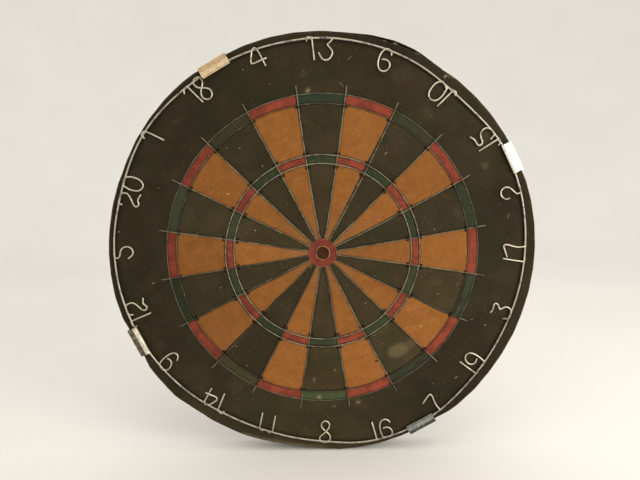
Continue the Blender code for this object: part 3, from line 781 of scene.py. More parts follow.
def ringRadius(angle):
    # a smooth cubic curve through the bends, its slope at each one taken from its neighbours
    at, bend = np.array(numberRing["bends"]).T
    bend = bend / 1000
    at = np.concatenate([at[-2:] - 360, at, at[:2] + 360])
    bend = np.concatenate([bend[-2:], bend, bend[:2]])
    slope = np.zeros(len(at))
    slope[1:-1] = (bend[2:] - bend[:-2]) / (at[2:] - at[:-2])
    angle = np.mod(angle, 360)
    i = np.clip(np.searchsorted(at, angle, side="right") - 1, 1, len(at) - 3)
    span = at[i + 1] - at[i]
    t = (angle - at[i]) / span
    return (numberRing["radius"] + (2 * t ** 3 - 3 * t ** 2 + 1) * bend[i]
            + (t ** 3 - 2 * t ** 2 + t) * span * slope[i]
            + (3 * t ** 2 - 2 * t ** 3) * bend[i + 1] + (t ** 3 - t ** 2) * span * slope[i + 1])


boardBody = buildBoard()
buildWrap()
print("board ready:", len(boardBody.data.polygons), "faces")


# metals

def buildTarnish():
    # Patches where plating has gone dull, small pits, and the fine streaks of drawn wire.
    group, pen, given, result = newGroup("tarnish", dict(Place=None, Size=0.01, Amount=0.5),
                                         ("Dull", "Pits", "Height"))
    scale = 1.0 / given["Size"]
    place = pen.scaled(given["Place"], scale)
    patch = pen.noise(place, 1.0, 4.0, 0.6, 0.5)
    fine = pen.noise(place, 0.12, 3.0, 0.6)
    limit = 0.72 - given["Amount"] * 0.4
    dull = pen.fade(patch + fine * 0.12, limit, limit + 0.16)
    pits = pen.fade(fine, 0.62, 0.78)
    result["Dull"] = dull
    result["Pits"] = pits
    result["Height"] = fine * 0.5 - pits * 0.5
    return group


tarnish = buildTarnish()


def metalMaterial(name, clean, dull, dark, size, amount, roughness, metallic=1.0, bump=0.00005):
    material, pen, place, shader = newMaterial(name, roughness, metallic)
    made = pen.use(tarnish, Place=place, Size=size, Amount=amount)
    colour = pen.mix(made["Dull"], clean, dull)
    colour = pen.mix(made["Pits"] * 0.5, colour, dark)
    shader["Base Color"] = colour
    shader["Roughness"] = pen.fade(made["Dull"], 0.0, 1.0, roughness, min(roughness + 0.3, 0.9))
    pen.bump(shader, made["Height"], bump)
    return material


def scoringMaterial(name, cover, brightness):
    # thin wire that was painted over with the face: steel shows where the paint has rubbed off
    material, pen, place, shader = newMaterial(name, 0.5, 0.0, 0.4)
    made = pen.use(facePaint, Place=place)
    metal = pen.use(tarnish, Place=place, Size=0.006, Amount=0.5)
    steel = pen.mix(metal["Dull"], brightness[0], brightness[1])
    lost = pen.noise(place, 0.03, 4.0, 0.7, 0.5)
    rubbed = pen.kept("rubbed")
    lost = lost + (rubbed - 0.5) * 0.45
    radius = fromAxis(pen, place)
    outside = pen.fade(radius, scoring["doubleOuter"] - 0.002, scoring["doubleOuter"] + 0.002)
    covered = pen.fade(lost, cover - 0.1, cover + 0.1, 1.0, 0.0)
    covered = covered * (1.0 - outside)
    shader["Base Color"] = pen.mix(covered, steel, pen.scaled(made["Colour"], 1.25))
    shader["Metallic"] = (1.0 - covered) * 0.55
    pen.bump(shader, metal["Height"], 0.00004)
    return material


radialSteel = scoringMaterial("radialSteel", 0.47, ("7f7963", "585240"))
trebleSteel = scoringMaterial("trebleSteel", 0.40, ("8f8b76", "66644e"))
doubleSteel = scoringMaterial("doubleSteel", 0.56, ("6d6e5a", "4b4a38"))
ringSteel = metalMaterial("ringSteel", "bcb4a3", "90877a", "584f42", 0.008, 0.45, 0.40)
numeralSteel = metalMaterial("numeralSteel", "cdc5b2", "a39a88", "625847", 0.008, 0.4, 0.40)
weldSteel = metalMaterial("weldSteel", "b5ad9c", "857c6b", "4b4437", 0.003, 0.6, 0.5)
spliceSteel = metalMaterial("spliceSteel", "9a958a", "67625a", "3d392f", 0.0025, 0.6, 0.5)
stapleSteel = metalMaterial("stapleSteel", "40382a", "282117", "1a140c", 0.002, 0.6, 0.6)
tackBrass = metalMaterial("tackBrass", "a88a52", "6a5532", "3b2e1a", 0.002, 0.5, 0.4)
hangerBrass = metalMaterial("hangerBrass", "a88f5f", "86703f", "6a5830", 0.014, 0.4, 0.38)
screwSteel = metalMaterial("screwSteel", "8f8a7d", "5e584b", "38332a", 0.003, 0.5, 0.4)


# the spider: the scoring wires and their staples

# how far each radial wire strays clockwise of its line, in millimetres, halfway and at its end
strays = [(0, -0.9), (1.5, 0.1), (0.8, 1.4), (0.3, -1.4), (0.4, 0), (-1, -0.9), (-0.2, -2.2),
          (-0.4, -1.3), (0.8, -0.6), (-0.3, -0.6), (0.4, -1), (0, 0.3), (-1.2, -1.8), (0.9, 0.6),
          (0.1, 0.7), (-0.1, -0.7), (-0.1, -0.1), (-1.4, -0.7), (-0.4, -1), (-0.2, 1.8)]
radial = dict(inner=0.0162, half=0.1250, outer=0.1765, lift=0.0003, hump=0.00085,
              humpReach=0.0024, endLift=0.0004)
# how much of its paint each radial wire has lost
rubbedShare = [0.8, 0.8, 0.5, 0.65, 0.45, 0.6, 0.35, 0.4, 0.5, 0.35, 0.5, 0.1, 0.1, 0.35, 0.3, 0.55,
               0.5, 0.55, 0.85, 0.8]
# the same for the double ring's two wires: angle, share
doubleShare = [(0, 0.5), (96, 0.5), (101, 0.22), (148, 0.18), (156, 0.45), (198, 0.5), (226, 0.25),
               (242, 0.3), (252, 0.5)]


def strayAt(index, radius):
    # the parabola through nothing at the inner end and the two given strays
    inner, half, outer = radial["inner"], radial["half"], radial["outer"]
    atHalf, atEnd = np.array(strays[index]) / 1000
    return ((radius - inner) * (radius - outer) / ((half - inner) * (half - outer)) * atHalf
            + (radius - inner) * (radius - half) / ((outer - inner) * (outer - half)) * atEnd)


def radialPlace(index, radius, aside, height):
    # a point by its radius along a radial wire and its distance clockwise of the wire
    angle = (index + 0.5) * sectorWidth
    bend = math.radians(angle)
    across = strayAt(index, radius) + aside
    x = radius * math.sin(bend) + across * math.cos(bend)
    z = radius * math.cos(bend) - across * math.sin(bend)
    return np.stack(np.broadcast_arrays(x, face - height, z), axis=-1)


def radialHeight(radius):
    # a radial wire lies half in the face and rides over each ring wire in a short hump
    height = radial["lift"] + 0.0 * radius
    for key in grooveDepths:
        height = height + radial["hump"] * np.exp(-((radius - scoring[key]) / radial["humpReach"]) ** 2)
    return height + radial["endLift"] * smoothStep(radius, 0.169, 0.177)


def buildSpider():
    for index in range(board["sectors"]):
        rng = np.random.default_rng(100 + index)
        radius = np.linspace(radial["inner"] - 0.0006 + 0.0008 * rng.random(),
                             radial["outer"] + 0.0012 * (rng.random() - 0.6), 150)
        shiver = 0.00012 * slowWaves(radius, 0, 0.03, 200 + index)
        path = radialPlace(index, radius, shiver, radialHeight(radius))
        number = f"{index + 1:02d}"
        solid = wireAlong(path, scoring["wire"])
        makePiece("radialWire" + number, [solid], radialSteel,
                  stands=["spider_radial_wire_" + number],
                  values=dict(rubbed=np.full(len(solid[0]), rubbedShare[index])))
    angle = evenAngles(480)
    for key, node, height, steel in (
            ("trebleOuter", "treble_outer_wire", 0.00030, trebleSteel),
            ("trebleInner", "treble_inner_wire", 0.00030, trebleSteel),
            ("doubleOuter", "double_outer_wire", 0.00002, doubleSteel),
            ("doubleInner", "double_inner_wire", 0.00002, doubleSteel)):
        sway = 0.00022 * slowWaves(angle, 0, 46, len(key) + 31) + 0.0001 * slowWaves(angle, 0, 9, 35)
        bounce = height + 0.0001 * slowWaves(angle, 0, 14, len(key) + 60)
        path = polarPlace(scoring[key] + sway, angle, bounce)
        share = aroundTable(angle, doubleShare if steel is doubleSteel else [(0, 0.5)])
        makePiece(key + "Wire", [wireAlong(path, scoring["wire"], 8, True)], steel,
                  stands=[node], values=dict(rubbed=np.repeat(share, 8)))
    few = evenAngles(96)
    outer = polarPlace(0.0148 + 0.0001 * slowWaves(few, 0, 60, 70), few, 0.0001 + 0 * few)
    makePiece("bullOuterWire", [wireAlong(outer, scoring["wire"], 8, True)],
              scoringMaterial("bullSteel", 0.75, ("8b5a48", "6d4436")),
              stands=["bull_outer_wire"])
    inner = polarPlace(scoring["bullInner"] + 0.00012 * slowWaves(few, 0, 60, 71), few, 0.0005 + 0 * few)
    makePiece("bullInnerWire", [wireAlong(inner, scoring["wire"], 8, True)],
              metalMaterial("bullBrass", "a8825a", "86603f", "5a3d27", 0.004, 0.5, 0.5),
              stands=["bull_inner_wire"])


def buildStaples():
    # a staple is a thin wire bent over the radial one, its two legs pushed into the face
    solids = []
    rng = np.random.default_rng(7)
    for index in range(board["sectors"]):
        for reach in staple["reaches"]:
            half = staple["half"] * (0.75 + 0.3 * rng.random())
            slant = 0.0012 * (rng.random() - 0.5)
            top = radialHeight(np.array(reach)) + 0.0008
            aside = np.array([-half, -half, -half * 0.5, 0, half * 0.5, half, half])
            lean = slant * aside / half
            height = np.array([-0.0012, top * 0.45, top * 0.95, top, top * 0.95, top * 0.45, -0.0012])
            stops = radialPlace(index, reach + lean, aside, height)
            along = radialPlace(index, reach + 0.01, 0, 0.0) - radialPlace(index, reach, 0, 0.0)
            solids.append(wireAlong(stops, staple["wire"], 6, level=along))
    makePiece("spiderStaples", solids, stapleSteel)


def buildEyelet():
    # a small loop of wire left on the bull's edge
    around = np.arange(25) * turn / 28
    middle = np.array([-0.0133, face - 0.0011, -0.0130])
    loop = middle + 0.0017 * np.stack([np.cos(around), 0.10 * np.sin(around), np.sin(around)], axis=1)
    makePiece("bullEyelet", [wireAlong(loop, 0.0007, 8)],
              metalMaterial("eyeletBrass", "b48a63", "8a6647", "5a3d27", 0.002, 0.5, 0.45))


buildSpider()
buildStaples()
buildEyelet()
print("spider ready")


# the number ring and its numerals

# Each numeral is one or more bent wires. A stop is (across, depth) or (across, depth, lift),
# in millimetres: clockwise along the ring from the middle of the sector, inwards from the
# ring, and up where one stroke passes over another.
numerals = {
    "13": [[(-14, 3), (-14.2, -0.6), (-9, -0.6), (-8.2, 4), (-6.5, 21.5)],
           [(12.4, 0.2), (11, 3), (6.7, 6.5), (11.5, 11.5), (12.5, 15), (9.5, 20.5), (5.2, 22.2),
            (1, 20.3), (-1.8, 14.3)]],
    "6": [[(6, 4.2), (5, 0.4), (2, -1.0), (-1, -0.4), (-3.8, 2), (-5.2, 6.5), (-5.5, 12), (-4.7, 17),
           (-1.8, 21), (2, 22), (6, 20), (8, 15.5), (6.5, 11.3), (2.8, 9.5), (-2, 10.5)]],
    "10": [[(5.3, 3), (1.0, -0.4), (-4.5, -0.2), (-7.7, 4.3), (-8.4, 10.3), (-8, 15.5), (-5.7, 19.3),
            (-1.5, 20.8), (2.7, 19), (5, 15), (5.7, 9.7), (5.3, 3.5), (5.3, 0.4)],
           [(16, 3), (15.5, -0.6), (11.5, -0.4), (9, 15), (7.6, 22)]],
    "15": [[(-6.3, 22), (-1.5, 19.5), (4, 20.3), (6.8, 19.2), (7.2, 16.2), (4.8, 13.8), (0.5, 13.3),
            (-3.5, 10.8), (-4.9, 6.5), (-4.2, 3), (-1.5, 0), (6.8, -0.4), (8.2, 6)],
           [(18.5, 3), (17.3, -0.4), (12.8, -0.2), (11.1, 22.5)]],
    "2": [[(-7, 0.4), (5.5, 0), (6.4, 3.6), (4.8, 5.4), (1.5, 7.4), (-2.4, 9.6), (-4.6, 12.7),
           (-4.6, 16.5), (-2.4, 19.9), (1.5, 21.1), (5.2, 19.9), (7.9, 17.2), (7.9, 13)]],
    "17": [[(7, 19), (-1.8, 22.3), (-5.5, 23.6), (-7, 21.2), (-6.3, 17.8), (-4.4, 11.7), (-3.6, 6.4),
            (-4.4, 0)], [(3.0, 0.2), (12.4, 0), (10, 15), (8.5, 23.4)]],
    "3": [[(10.8, 6.4), (9.3, 0.2), (5, -0.4), (1, 0), (-1.5, 1.5), (-3.1, 5.3), (-1.9, 9),
           (2.3, 12.6), (0, 14.7), (-3.1, 17.3), (-3.1, 20), (-1.2, 21), (5, 20), (8.4, 21.8)]],
    "19": [[(-2, 9.7), (2.2, 7.9), (5.5, 9), (7.8, 12), (7.8, 16.2), (5.5, 20.4), (1.8, 22),
            (-2.1, 20.7), (-4.4, 17), (-5, 11), (-4.8, 5), (-4, -0.4), (3, -0.4)],
           [(6, 0.2), (12.3, -0.2), (11.7, 22.8)]],
    "7": [[(-5, 0.4), (0.7, 0), (1.1, 5), (0.8, 10), (-0.5, 15), (-1.6, 18.8), (-1.2, 21.5),
           (1.5, 21.9), (12, 17.6)]],
    "16": [[(-10, 15.5), (-9.6, 17), (-7.8, 20), (-4, 21.3), (-0.2, 20), (2.1, 16.3), (3.2, 11),
            (3.5, 5.7), (2.8, 1), (-3, -0.6), (-7.8, 0.5), (-9.3, 4.2), (-8.5, 8.3), (-5.5, 11.3),
            (-0.5, 11.5)], [(5, 0.4), (10.3, 0), (9.3, 22.5)]],
    "8": [[(3.4, -0.4), (-0.5, -1.2), (-4.4, -0.2), (-6.4, 3.4), (-5.4, 8), (-0.4, 12.5), (3, 16),
           (4.1, 19.7), (2.7, 23.1), (-0.8, 24.6), (-4.1, 23.1), (-5.7, 19.7), (-4.5, 16, 0.6),
           (-1.9, 13.3, 1.7), (1.2, 10.2, 1.7), (3.8, 7.6, 0.6), (6.2, 4.6), (5.6, 1.4), (3.2, -0.5)]],
    "11": [[(-4.3, 19.7), (-6.4, 0.2), (-2.0, -1.2)], [(3.6, -1.2), (8.6, 0.2), (10.4, 19)]],
    "14": [[(-2.2, 21), (-7, 0), (-13.0, -0.2), (-13.3, 3.5)],
           [(13, 18), (11.8, 7.9), (11, 0), (6.5, -1.2), (4.0, 1), (2.2, 5.5), (0.5, 9.6), (2.2, 12.3),
            (7.5, 12, 0.4), (10.5, 11.6, 1.5), (13.5, 11, 1.5), (15.8, 10.5, 0.8)]],
    "9": [[(8.5, 11.2), (6.6, 12.6), (3.2, 12.6), (0.2, 10.4), (-1.8, 6.7), (-1.8, 2.9), (0.5, -0.8),
           (7.5, -0.8), (9.8, 2.6), (10.8, 7.4), (11.1, 13.5), (10.3, 18.8), (8.1, 22.1), (5.1, 22.9),
           (2.1, 21.4), (0.2, 18.4)]],
    "12": [[(-2, 23.5), (-3.8, 0), (-10.3, 0), (-10.8, 3.9)],
           [(2.3, 4.7), (4, -0.4), (14, 0.1), (15.5, 4.2), (15.5, 8), (12.9, 11.4), (8.7, 13.7),
            (4.1, 15.9), (2.7, 18.6), (3.7, 21.2), (6.4, 22.3), (8.3, 20.4), (11, 19.4), (16.2, 21.6)]],
    "5": [[(8, 0), (-2, 0), (-2.6, 3.3), (-0.5, 5.6), (4, 6.2), (7.4, 7.6), (9.6, 10.5), (10.2, 14.4),
           (8.6, 18.1), (4.7, 20.3), (1, 19.3), (-1.3, 16.6), (-2.8, 14.4)]],
    "20": [[(2.6, 20), (-1.6, 18.8), (-4.2, 18.4), (-7.3, 20.8), (-9.9, 20.4), (-11.3, 17.8),
            (-9.5, 15.1), (-4.2, 11), (-0.5, 7.3), (0.1, 4.2), (-2, 0), (-12.4, -0.2), (-13.2, 3.9)],
           [(10, -0.4), (7.0, -0.2), (4.8, 5.7), (4.6, 11.8), (6, 17.1), (9.7, 20.1), (13.6, 20.1),
            (16.8, 16.9), (18.3, 11.3), (18, 5.4), (16.0, 0.2), (11.5, -0.6)]],
    "1": [[(-8.2, 3.2), (-7.4, -1.0), (-4.5, -1.9), (-1.5, -0.4), (1.9, 20.6)]],
    "18": [[(-4.7, 21.6), (-8, 0), (-13.0, 0), (-15, 3.9)],
           [(2.0, -1.4), (-1.2, 0.6), (-1, 5.9), (1.2, 8.4), (4.5, 10.6), (8, 13.7), (9.3, 17.5),
            (7.6, 21.6), (3.7, 23.4), (0, 22), (-2.3, 18.2), (-1.5, 14.5, 0.6), (1.3, 11.4, 1.7),
            (5.3, 8.4, 1.7), (7.6, 5.7, 0.6), (8.2, 1.0), (6.0, -1.6), (1.5, -1.6)]],
    "4": [[(6.7, 18.4), (4.2, 1.0), (1.5, -2.0), (-1.4, -0.8), (-5.1, 6.7), (-6.7, 11.2), (-5.4, 12.6),
           (0.5, 12.2, 0.4), (3.5, 12.1, 1.5), (7, 11.9, 1.5), (10, 11.6, 0.8)]],
}
numeral = dict(wire=0.0018, deepest=-0.0024)
# where solder was run along the ring: sector, across, half length, thickness, push outwards
welds = [("13", -8.6, 1.6, 2.4, 0.3), ("13", 12, 1.2, 2.4, 0.2), ("6", 1.5, 1.8, 2.4, 0.3),
         ("10", -2, 2, 2.5, 0.4), ("10", 11, 1.8, 2.5, 0.7), ("15", 2, 2, 2.5, 0.3),
         ("15", 13.5, 1.8, 2.5, 0.7), ("2", 0, 2.4, 2.4, 0.2), ("17", -4.4, 1.3, 2.5, 0.3),
         ("17", 12, 1.4, 2.5, 0.3), ("3", 4, 2.4, 2.5, 0.3), ("19", -2.5, 2, 2.5, 0.3),
         ("19", 11, 2, 2.5, 0.4), ("7", -1.6, 1.8, 2.5, 0.3), ("16", -3.5, 2.6, 2.5, 0.3),
         ("16", 9.2, 1.5, 2.5, 0.3), ("8", -1, 2.6, 2.5, 0.4), ("11", -4.2, 2.3, 2.5, 0.7),
         ("11", -4, 1.7, 2, 1.7), ("11", 6.2, 2.5, 2.5, 0.8), ("11", 6.4, 1.9, 2, 1.8),
         ("14", -8.4, 1.4, 2.5, 0.6), ("14", 8.6, 2.4, 2.5, 0.8), ("9", 4, 3.4, 2.5, 0.5),
         ("12", -5.2, 1.6, 2.5, 0.4), ("12", 8.5, 2, 2.4, 0.3), ("5", 2, 2.4, 2.4, 0.2),
         ("20", -5.5, 2.2, 2.4, 0.2), ("20", 11.5, 2.4, 2.4, 0.2), ("1", -4.5, 2.2, 2.5, 0.4),
         ("18", -9.5, 1.6, 2.4, 0.3), ("18", 3.4, 2.6, 2.5, 0.4), ("4", 1.4, 2.4, 2.5, 0.4)]


def numeralPath(sectorAngle, stops):
    # across and depth are laid off square to the sector's middle line, where it meets the ring
    rows = np.array([(*stop, 0.0)[:3] for stop in stops]) / 1000
    bend = math.radians(sectorAngle)
    reach = ringRadius(np.array(sectorAngle)) - rows[:, 1]
    x = reach * math.sin(bend) + rows[:, 0] * math.cos(bend)
    z = reach * math.cos(bend) - rows[:, 0] * math.sin(bend)
    radius, angle = asPolar(x, z)
    radius = np.minimum(radius, ringRadius(angle) - numeral["deepest"])
    return polarPlace(radius, angle, numberRing["height"] + rows[:, 2])


def ringPath(angle):
    sway = 0.00012 * slowWaves(angle, 0, 12, 41)
    return polarPlace(ringRadius(angle) + sway, angle, numberRing["height"] + 0 * angle)


def sleeveOn(startAngle, endAngle, thickness, steps, lumps, seed, power=2, push=0.0):
    # A lump of solder or a sleeve: a round section along the ring. Its thickness follows the
    # square root of one less the share of the way to its end raised to the power, and its
    # middle is pushed outwards.
    angle = np.linspace(startAngle, endAngle, steps)
    share = np.linspace(-1, 1, steps)
    swell = np.sqrt(np.clip(1 - np.abs(share) ** power, 0.02, 1))
    swell = np.minimum(swell * (1 + lumps * slowWaves(share, 0, 0.5, seed)), 1)
    shift = polarPlace(push * (1 - share ** 2), angle, face)
    points, quads, triangles = wireAlong(ringPath(angle) + shift, thickness * swell, 12)
    # the side towards the board was soldered on a flat bench
    points[:, 1] = np.minimum(points[:, 1], -(board["thickness"] + numberRing["flat"]))
    return points, quads, triangles


def buildNumberRing():
    angle = evenAngles(720)
    thin = numberRing["wire"] * (1 + 0.03 * slowWaves(angle, 0, 5, 42))
    makePiece("numberRingWire", [wireAlong(ringPath(angle), thin, 10, True)], ringSteel,
              "number_ring", ["number_ring_wire"])
    lumps = []
    for count, (name, across, half, thick, push) in enumerate(welds):
        middle = names.index(name) * sectorWidth + math.degrees(across / 1000 / numberRing["radius"])
        reach = math.degrees(half / 1000 / numberRing["radius"])
        lumps.append(sleeveOn(middle - reach, middle + reach, thick / 1000, 13, 0.12, 300 + count,
                              push=push / 1000))
    makePiece("ringSolder", lumps, weldSteel, "number_ring")
    degree = math.degrees(0.001 / numberRing["radius"])
    makePiece("ringSplice", [sleeveOn(-1.6 * degree, 10.6 * degree, 0.00255, 41, 0.04, 331, 8)],
              spliceSteel, "number_ring")


def buildNumerals():
    for index, name in enumerate(names):
        strokes = []
        for route in numerals[name]:
            path = bentPath(numeralPath(index * sectorWidth, route))
            uneven = numeral["wire"] * (1 + 0.04 * slowWaves(np.arange(len(path)), 0, 14, index))
            strokes.append(wireAlong(path, uneven, 10))
        makePiece("numeral" + name, strokes, numeralSteel, "number_ring",
                  ["numeral_" + name])


buildNumberRing()
buildNumerals()
print("number ring ready")


# the clips that hold the number ring, and their tacks

clip = dict(length=0.0323, sheet=0.0006, beadHalf=0.0022, beadRise=0.0011, flange=0.0100, bend=0.0012,
            gap=0.0003, dent=0.00012, taper=0.004,
            lips=dict(upper_left=0.0018, right=0.0004, lower_right=0.0021, lower_left=0.0009))
clipPlaces = {"upper_left": -29.2, "right": 63.6, "lower_right": 151.0, "lower_left": 244.8}
tack = dict(shank=0.0014, head=0.0048, rise=0.0010, length=0.0120, depth=0.0055)


def plateSolid(middle, thickness):
    # a sheet given by its middle surface: half its thickness goes each way along the normals
    # and a narrow wall closes it round the border
    rows, columns = middle.shape[:2]
    normal = unit(np.cross(np.gradient(middle, axis=0), np.gradient(middle, axis=1)))
    points = np.concatenate([middle + normal * thickness / 2, middle - normal * thickness / 2])
    count = rows * columns
    top = gridQuads(rows, columns, False, False)
    down, across = np.arange(rows - 1), np.arange(columns - 1)
    loop = np.concatenate([across, down * columns + columns - 1, count - 1 - across,
                           (rows - 1 - down) * columns])
    after = np.roll(loop, -1)
    walls = np.stack([after, loop, loop + count, after + count], 1)
    quads = np.vstack([top, top[:, ::-1] + count, walls])
    return points.reshape(-1, 3), quads, np.zeros((0, 3), int)


def rimAxes(angle):
    bend = math.radians(angle)
    along = np.array([math.cos(bend), 0, -math.sin(bend)])
    away = np.array([math.sin(bend), 0, math.cos(bend)])
    return along, np.array([0, -1.0, 0]), away


def clipMaterial(place, plate, lip, dull, amount):
    # sheet metal with a mottled coat, dull in patches and less so on the bead; the bead's lighter colour
    # is a painted highlight
    material, pen, where, shader = newMaterial("clipZinc_" + place, 0.35, 0.85)
    made = pen.use(tarnish, Place=where, Size=0.004, Amount=amount)
    bead = pen.kept("bead")
    # the bead takes the lighter lip colour, a painted highlight
    colour = pen.mix(bead, plate, lip)
    spangle = pen.cells(where, 0.0028, "3D")
    tone = pen.split(spangle["Color"], "Color")[0]
    colour = pen.scaled(colour, pen.fade(tone, 0.0, 1.0, 0.88, 1.1))
    mask = made["Dull"] * pen.fade(bead, 0.2, 0.9, 1.0, 0.3)
    shader["Base Color"] = pen.mix(mask, colour, dull)
    shader["Roughness"] = pen.fade(made["Dull"], 0.0, 1.0, 0.32, 0.6)
    pen.bump(shader, made["Height"], 0.00006)
    return material


# plate, bead and dull colours and tarnish of each clip: the upper left plate holds a painted warm
# reflection, the right one a painted white reflection, and each bead's lighter colour is a painted
# highlight
clipColoursAndReflections = {
    "upper_left": ("d3b48c", "e2cba6", "b39a78", 0.25), "right": ("f6f3ea", "f4efe4", "d9d5ca", 0.1),
    "lower_right": ("6c6e6c", "a5a6a2", "454846", 0.75),
    "lower_left": ("84796a", "efe6d2", "5d5346", 0.65),
}


def joined(place):
    return place.title().replace("_", "")


def buildClips():
    for place, angle in clipPlaces.items():
        along, out, away = rimAxes(angle)
        ringAt = float(ringRadius(np.array(angle)))
        outer = board["radius"] + clip["gap"] + clip["sheet"] / 2
        plate = numberRing["height"] + numberRing["wire"] / 2 + clip["gap"] + clip["sheet"] / 2
        corner = np.radians(np.linspace(0, 90, 8))
        bead = np.radians(np.linspace(0, 180, 19))
        lipShare = np.array([0.5, 1.0])
        # outward and height of the middle line: flange, corner, plate, bead, inner lip
        reach = np.concatenate([np.full(6, outer), outer - clip["bend"] + clip["bend"] * np.cos(corner),
                                np.linspace(outer - clip["bend"] - 0.0008, ringAt + 0.0030, 6),
                                ringAt + clip["beadHalf"] * np.cos(bead),
                                ringAt - clip["beadHalf"] - clip["lips"][place] * lipShare])
        high = np.concatenate([np.linspace(-clip["flange"], -0.0006, 6),
                               plate - clip["bend"] + clip["bend"] * np.sin(corner),
                               np.full(6, plate), plate + clip["beadRise"] * np.sin(bead),
                               plate - 0.0001 * lipShare])
        beadShare = np.concatenate([np.zeros(6 + 8 + 6), smoothStep(np.sin(bead), 0.0, 0.35), [0.7, 0.9]])
        share = np.linspace(-1, 1, 33)
        seed = int(angle) % 97
        # the ends are a little narrower than the middle, and the sheet is faintly dented
        u = share[:, None] * clip["length"] / 2
        dent = clip["dent"] * (1 + slowWaves(u, reach[None] + high[None], 0.010, seed))
        taper = np.clip(np.abs(share) - 0.93, 0, 1)[:, None] * clip["taper"]
        outward = reach[None] + 0 * u
        lowest = high[None] + 0 * u
        raised = np.where(high > -0.0001, 1.0, 0.0)[None] * dent
        fold = np.where(high < -0.004, 1.0, 0.0)[None] * taper
        middle = (outward[..., None] * away + (lowest + raised + fold)[..., None] * out
                  + u[..., None] * along + np.array([0, face, 0]))
        solid = plateSolid(middle, clip["sheet"])
        values = np.tile(np.broadcast_to(beadShare, outward.shape).ravel(), 2)
        plateTintAndReflectionCode, lipHighlightCode, dullCode, amount = clipColoursAndReflections[place]
        piece = makePiece("ringClip" + joined(place), [solid],
                          clipMaterial(place, plateTintAndReflectionCode, lipHighlightCode, dullCode, amount),
                          stands=["ring_clip_" + place], sharp=40, values=dict(bead=values))
        soften = piece.modifiers.new("softEdges", "BEVEL")
        soften.width = 0.00012
        soften.segments = 1
        soften.limit_method = "ANGLE"
        buildTack(place, angle)


def buildTack(place, angle):
    along, out, away = rimAxes(angle)
    rest = board["radius"] + clip["gap"] + clip["sheet"]
    centre = away * rest + out * (board["thickness"] - tack["depth"])
    share = np.linspace(0, 1, 7)
    dome = np.stack([tack["head"] / 2 * np.cos(share * math.pi / 2) ** 0.7,
                     0.0003 + (tack["rise"] - 0.0003) * np.sin(share * math.pi / 2)], axis=1)[:-1]
    profile = np.vstack([[(0.0001, -tack["length"]), (tack["shank"] / 2, -tack["length"] + 0.0025),
                          (tack["shank"] / 2, 0), (tack["head"] / 2 - 0.0002, 0),
                          (tack["head"] / 2, 0.0002)], dome])
    makePiece("clipTack" + joined(place), [lathe(profile, 28, centre, (along, out, away))], tackBrass,
              stands=["clip_tack_" + place], sharp=60)


buildClips()
print("clips ready")


# the hanger let into the back

hanger = dict(height=0.165, width=0.052, tall=0.018, sheet=0.0012, recess=0.0028, hole=0.0054,
              well=0.0130, wellDepth=0.0060, spare=0.0003)


def squareRound(across, up, power, steps):
    # a rectangle with rounded corners: both directions take the cosine and the sine, each
    # raised to two over power and keeping its sign
    c, s = circle(steps, 0.5)
    return np.stack([across * np.sign(c) * np.abs(c) ** (2 / power),
                     up * np.sign(s) * np.abs(s) ** (2 / power)], axis=1)


def cutFromBoard(rows):
    # a cutter from rows of (x, z) outlines at given depths behind the back
    grid = np.stack([np.column_stack([outline[:, 0], np.full(len(outline), -depth),
                                      outline[:, 1] + hanger["height"]]) for outline, depth in rows])
    cutter = makeObject("cutter", [sleeve(grid)], backPaper)
    made = boardBody.modifiers.new("recess", "BOOLEAN")
    made.operation = "DIFFERENCE"
    made.solver = "EXACT"
    made.object = cutter
    shape = bpy.data.meshes.new_from_object(
        boardBody.evaluated_get(bpy.context.evaluated_depsgraph_get()))
    shape.shade_smooth()
    shape.set_sharp_from_angle(angle=math.radians(40))
    boardBody.modifiers.clear()
    boardBody.data = shape
    bpy.data.objects.remove(cutter)


def buildHanger():
    room = hanger["spare"] * 2
    outline = squareRound(hanger["width"] / 2 + room, hanger["tall"] / 2 + room, 12, 64)
    cutFromBoard([(outline, -0.002), (outline, 0.0), (outline, hanger["recess"])])
    well = np.column_stack(circle(40)) * hanger["well"] / 2
    cutFromBoard([(well, -0.002), (well, 0.002), (well * 0.97, hanger["wellDepth"])])
    # The plate is a closed section carried round its hole: out along the back, over the
    # edge, and in again underneath. Points lie between the hole and the outline.
    steps = 96
    edge = squareRound(hanger["width"] / 2, hanger["tall"] / 2, 7, steps)
    hole = np.column_stack(circle(steps, 0.5)) * hanger["hole"] / 2
    share = np.array([0.0, 0.02, 0.08, 0.16, 0.4, 0.7, 0.96, 0.99, 1.0])
    rim = np.array([0.0002, 0.0, 0.0, 0.0002, 0.0002, 0.0002, 0.0002, 0.00025, 0.0005])
    top = hanger["recess"] - hanger["spare"] - hanger["sheet"]
    flat = hole[:, None] * (1 - share[:, None]) + edge[:, None] * share[:, None]
    upper = np.stack([flat[..., 0], np.broadcast_to(-top - rim, flat.shape[:2]),
                      flat[..., 1] + hanger["height"]], axis=-1)
    lower = upper[:, ::-1] * np.array([1, 0, 1]) + np.array([0, -top - hanger["sheet"], 0])
    makePiece("hangerPlate", [sleeve(np.concatenate([upper, lower], axis=1), True)], hangerBrass,
              stands=["hanger_plate"], sharp=35)
    for side in ("left", "right"):
        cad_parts["hanger_screw_" + side].material_slots[0].material = screwSteel


buildHanger()
print("hanger ready")


# wear that stands out of the face: nicks, torn flakes and open dart holes

def fibreMaterial(name, pale, dark):
    material, pen, place, shader = newMaterial(name, 0.9, 0.0, 0.15)
    fibre = pen.noise(place, 0.0009, 4.0, 0.7)
    shader["Base Color"] = pen.mix(pen.fade(fibre, 0.3, 0.7), dark, pale)
    pen.bump(shader, fibre, 0.0002)
    return material


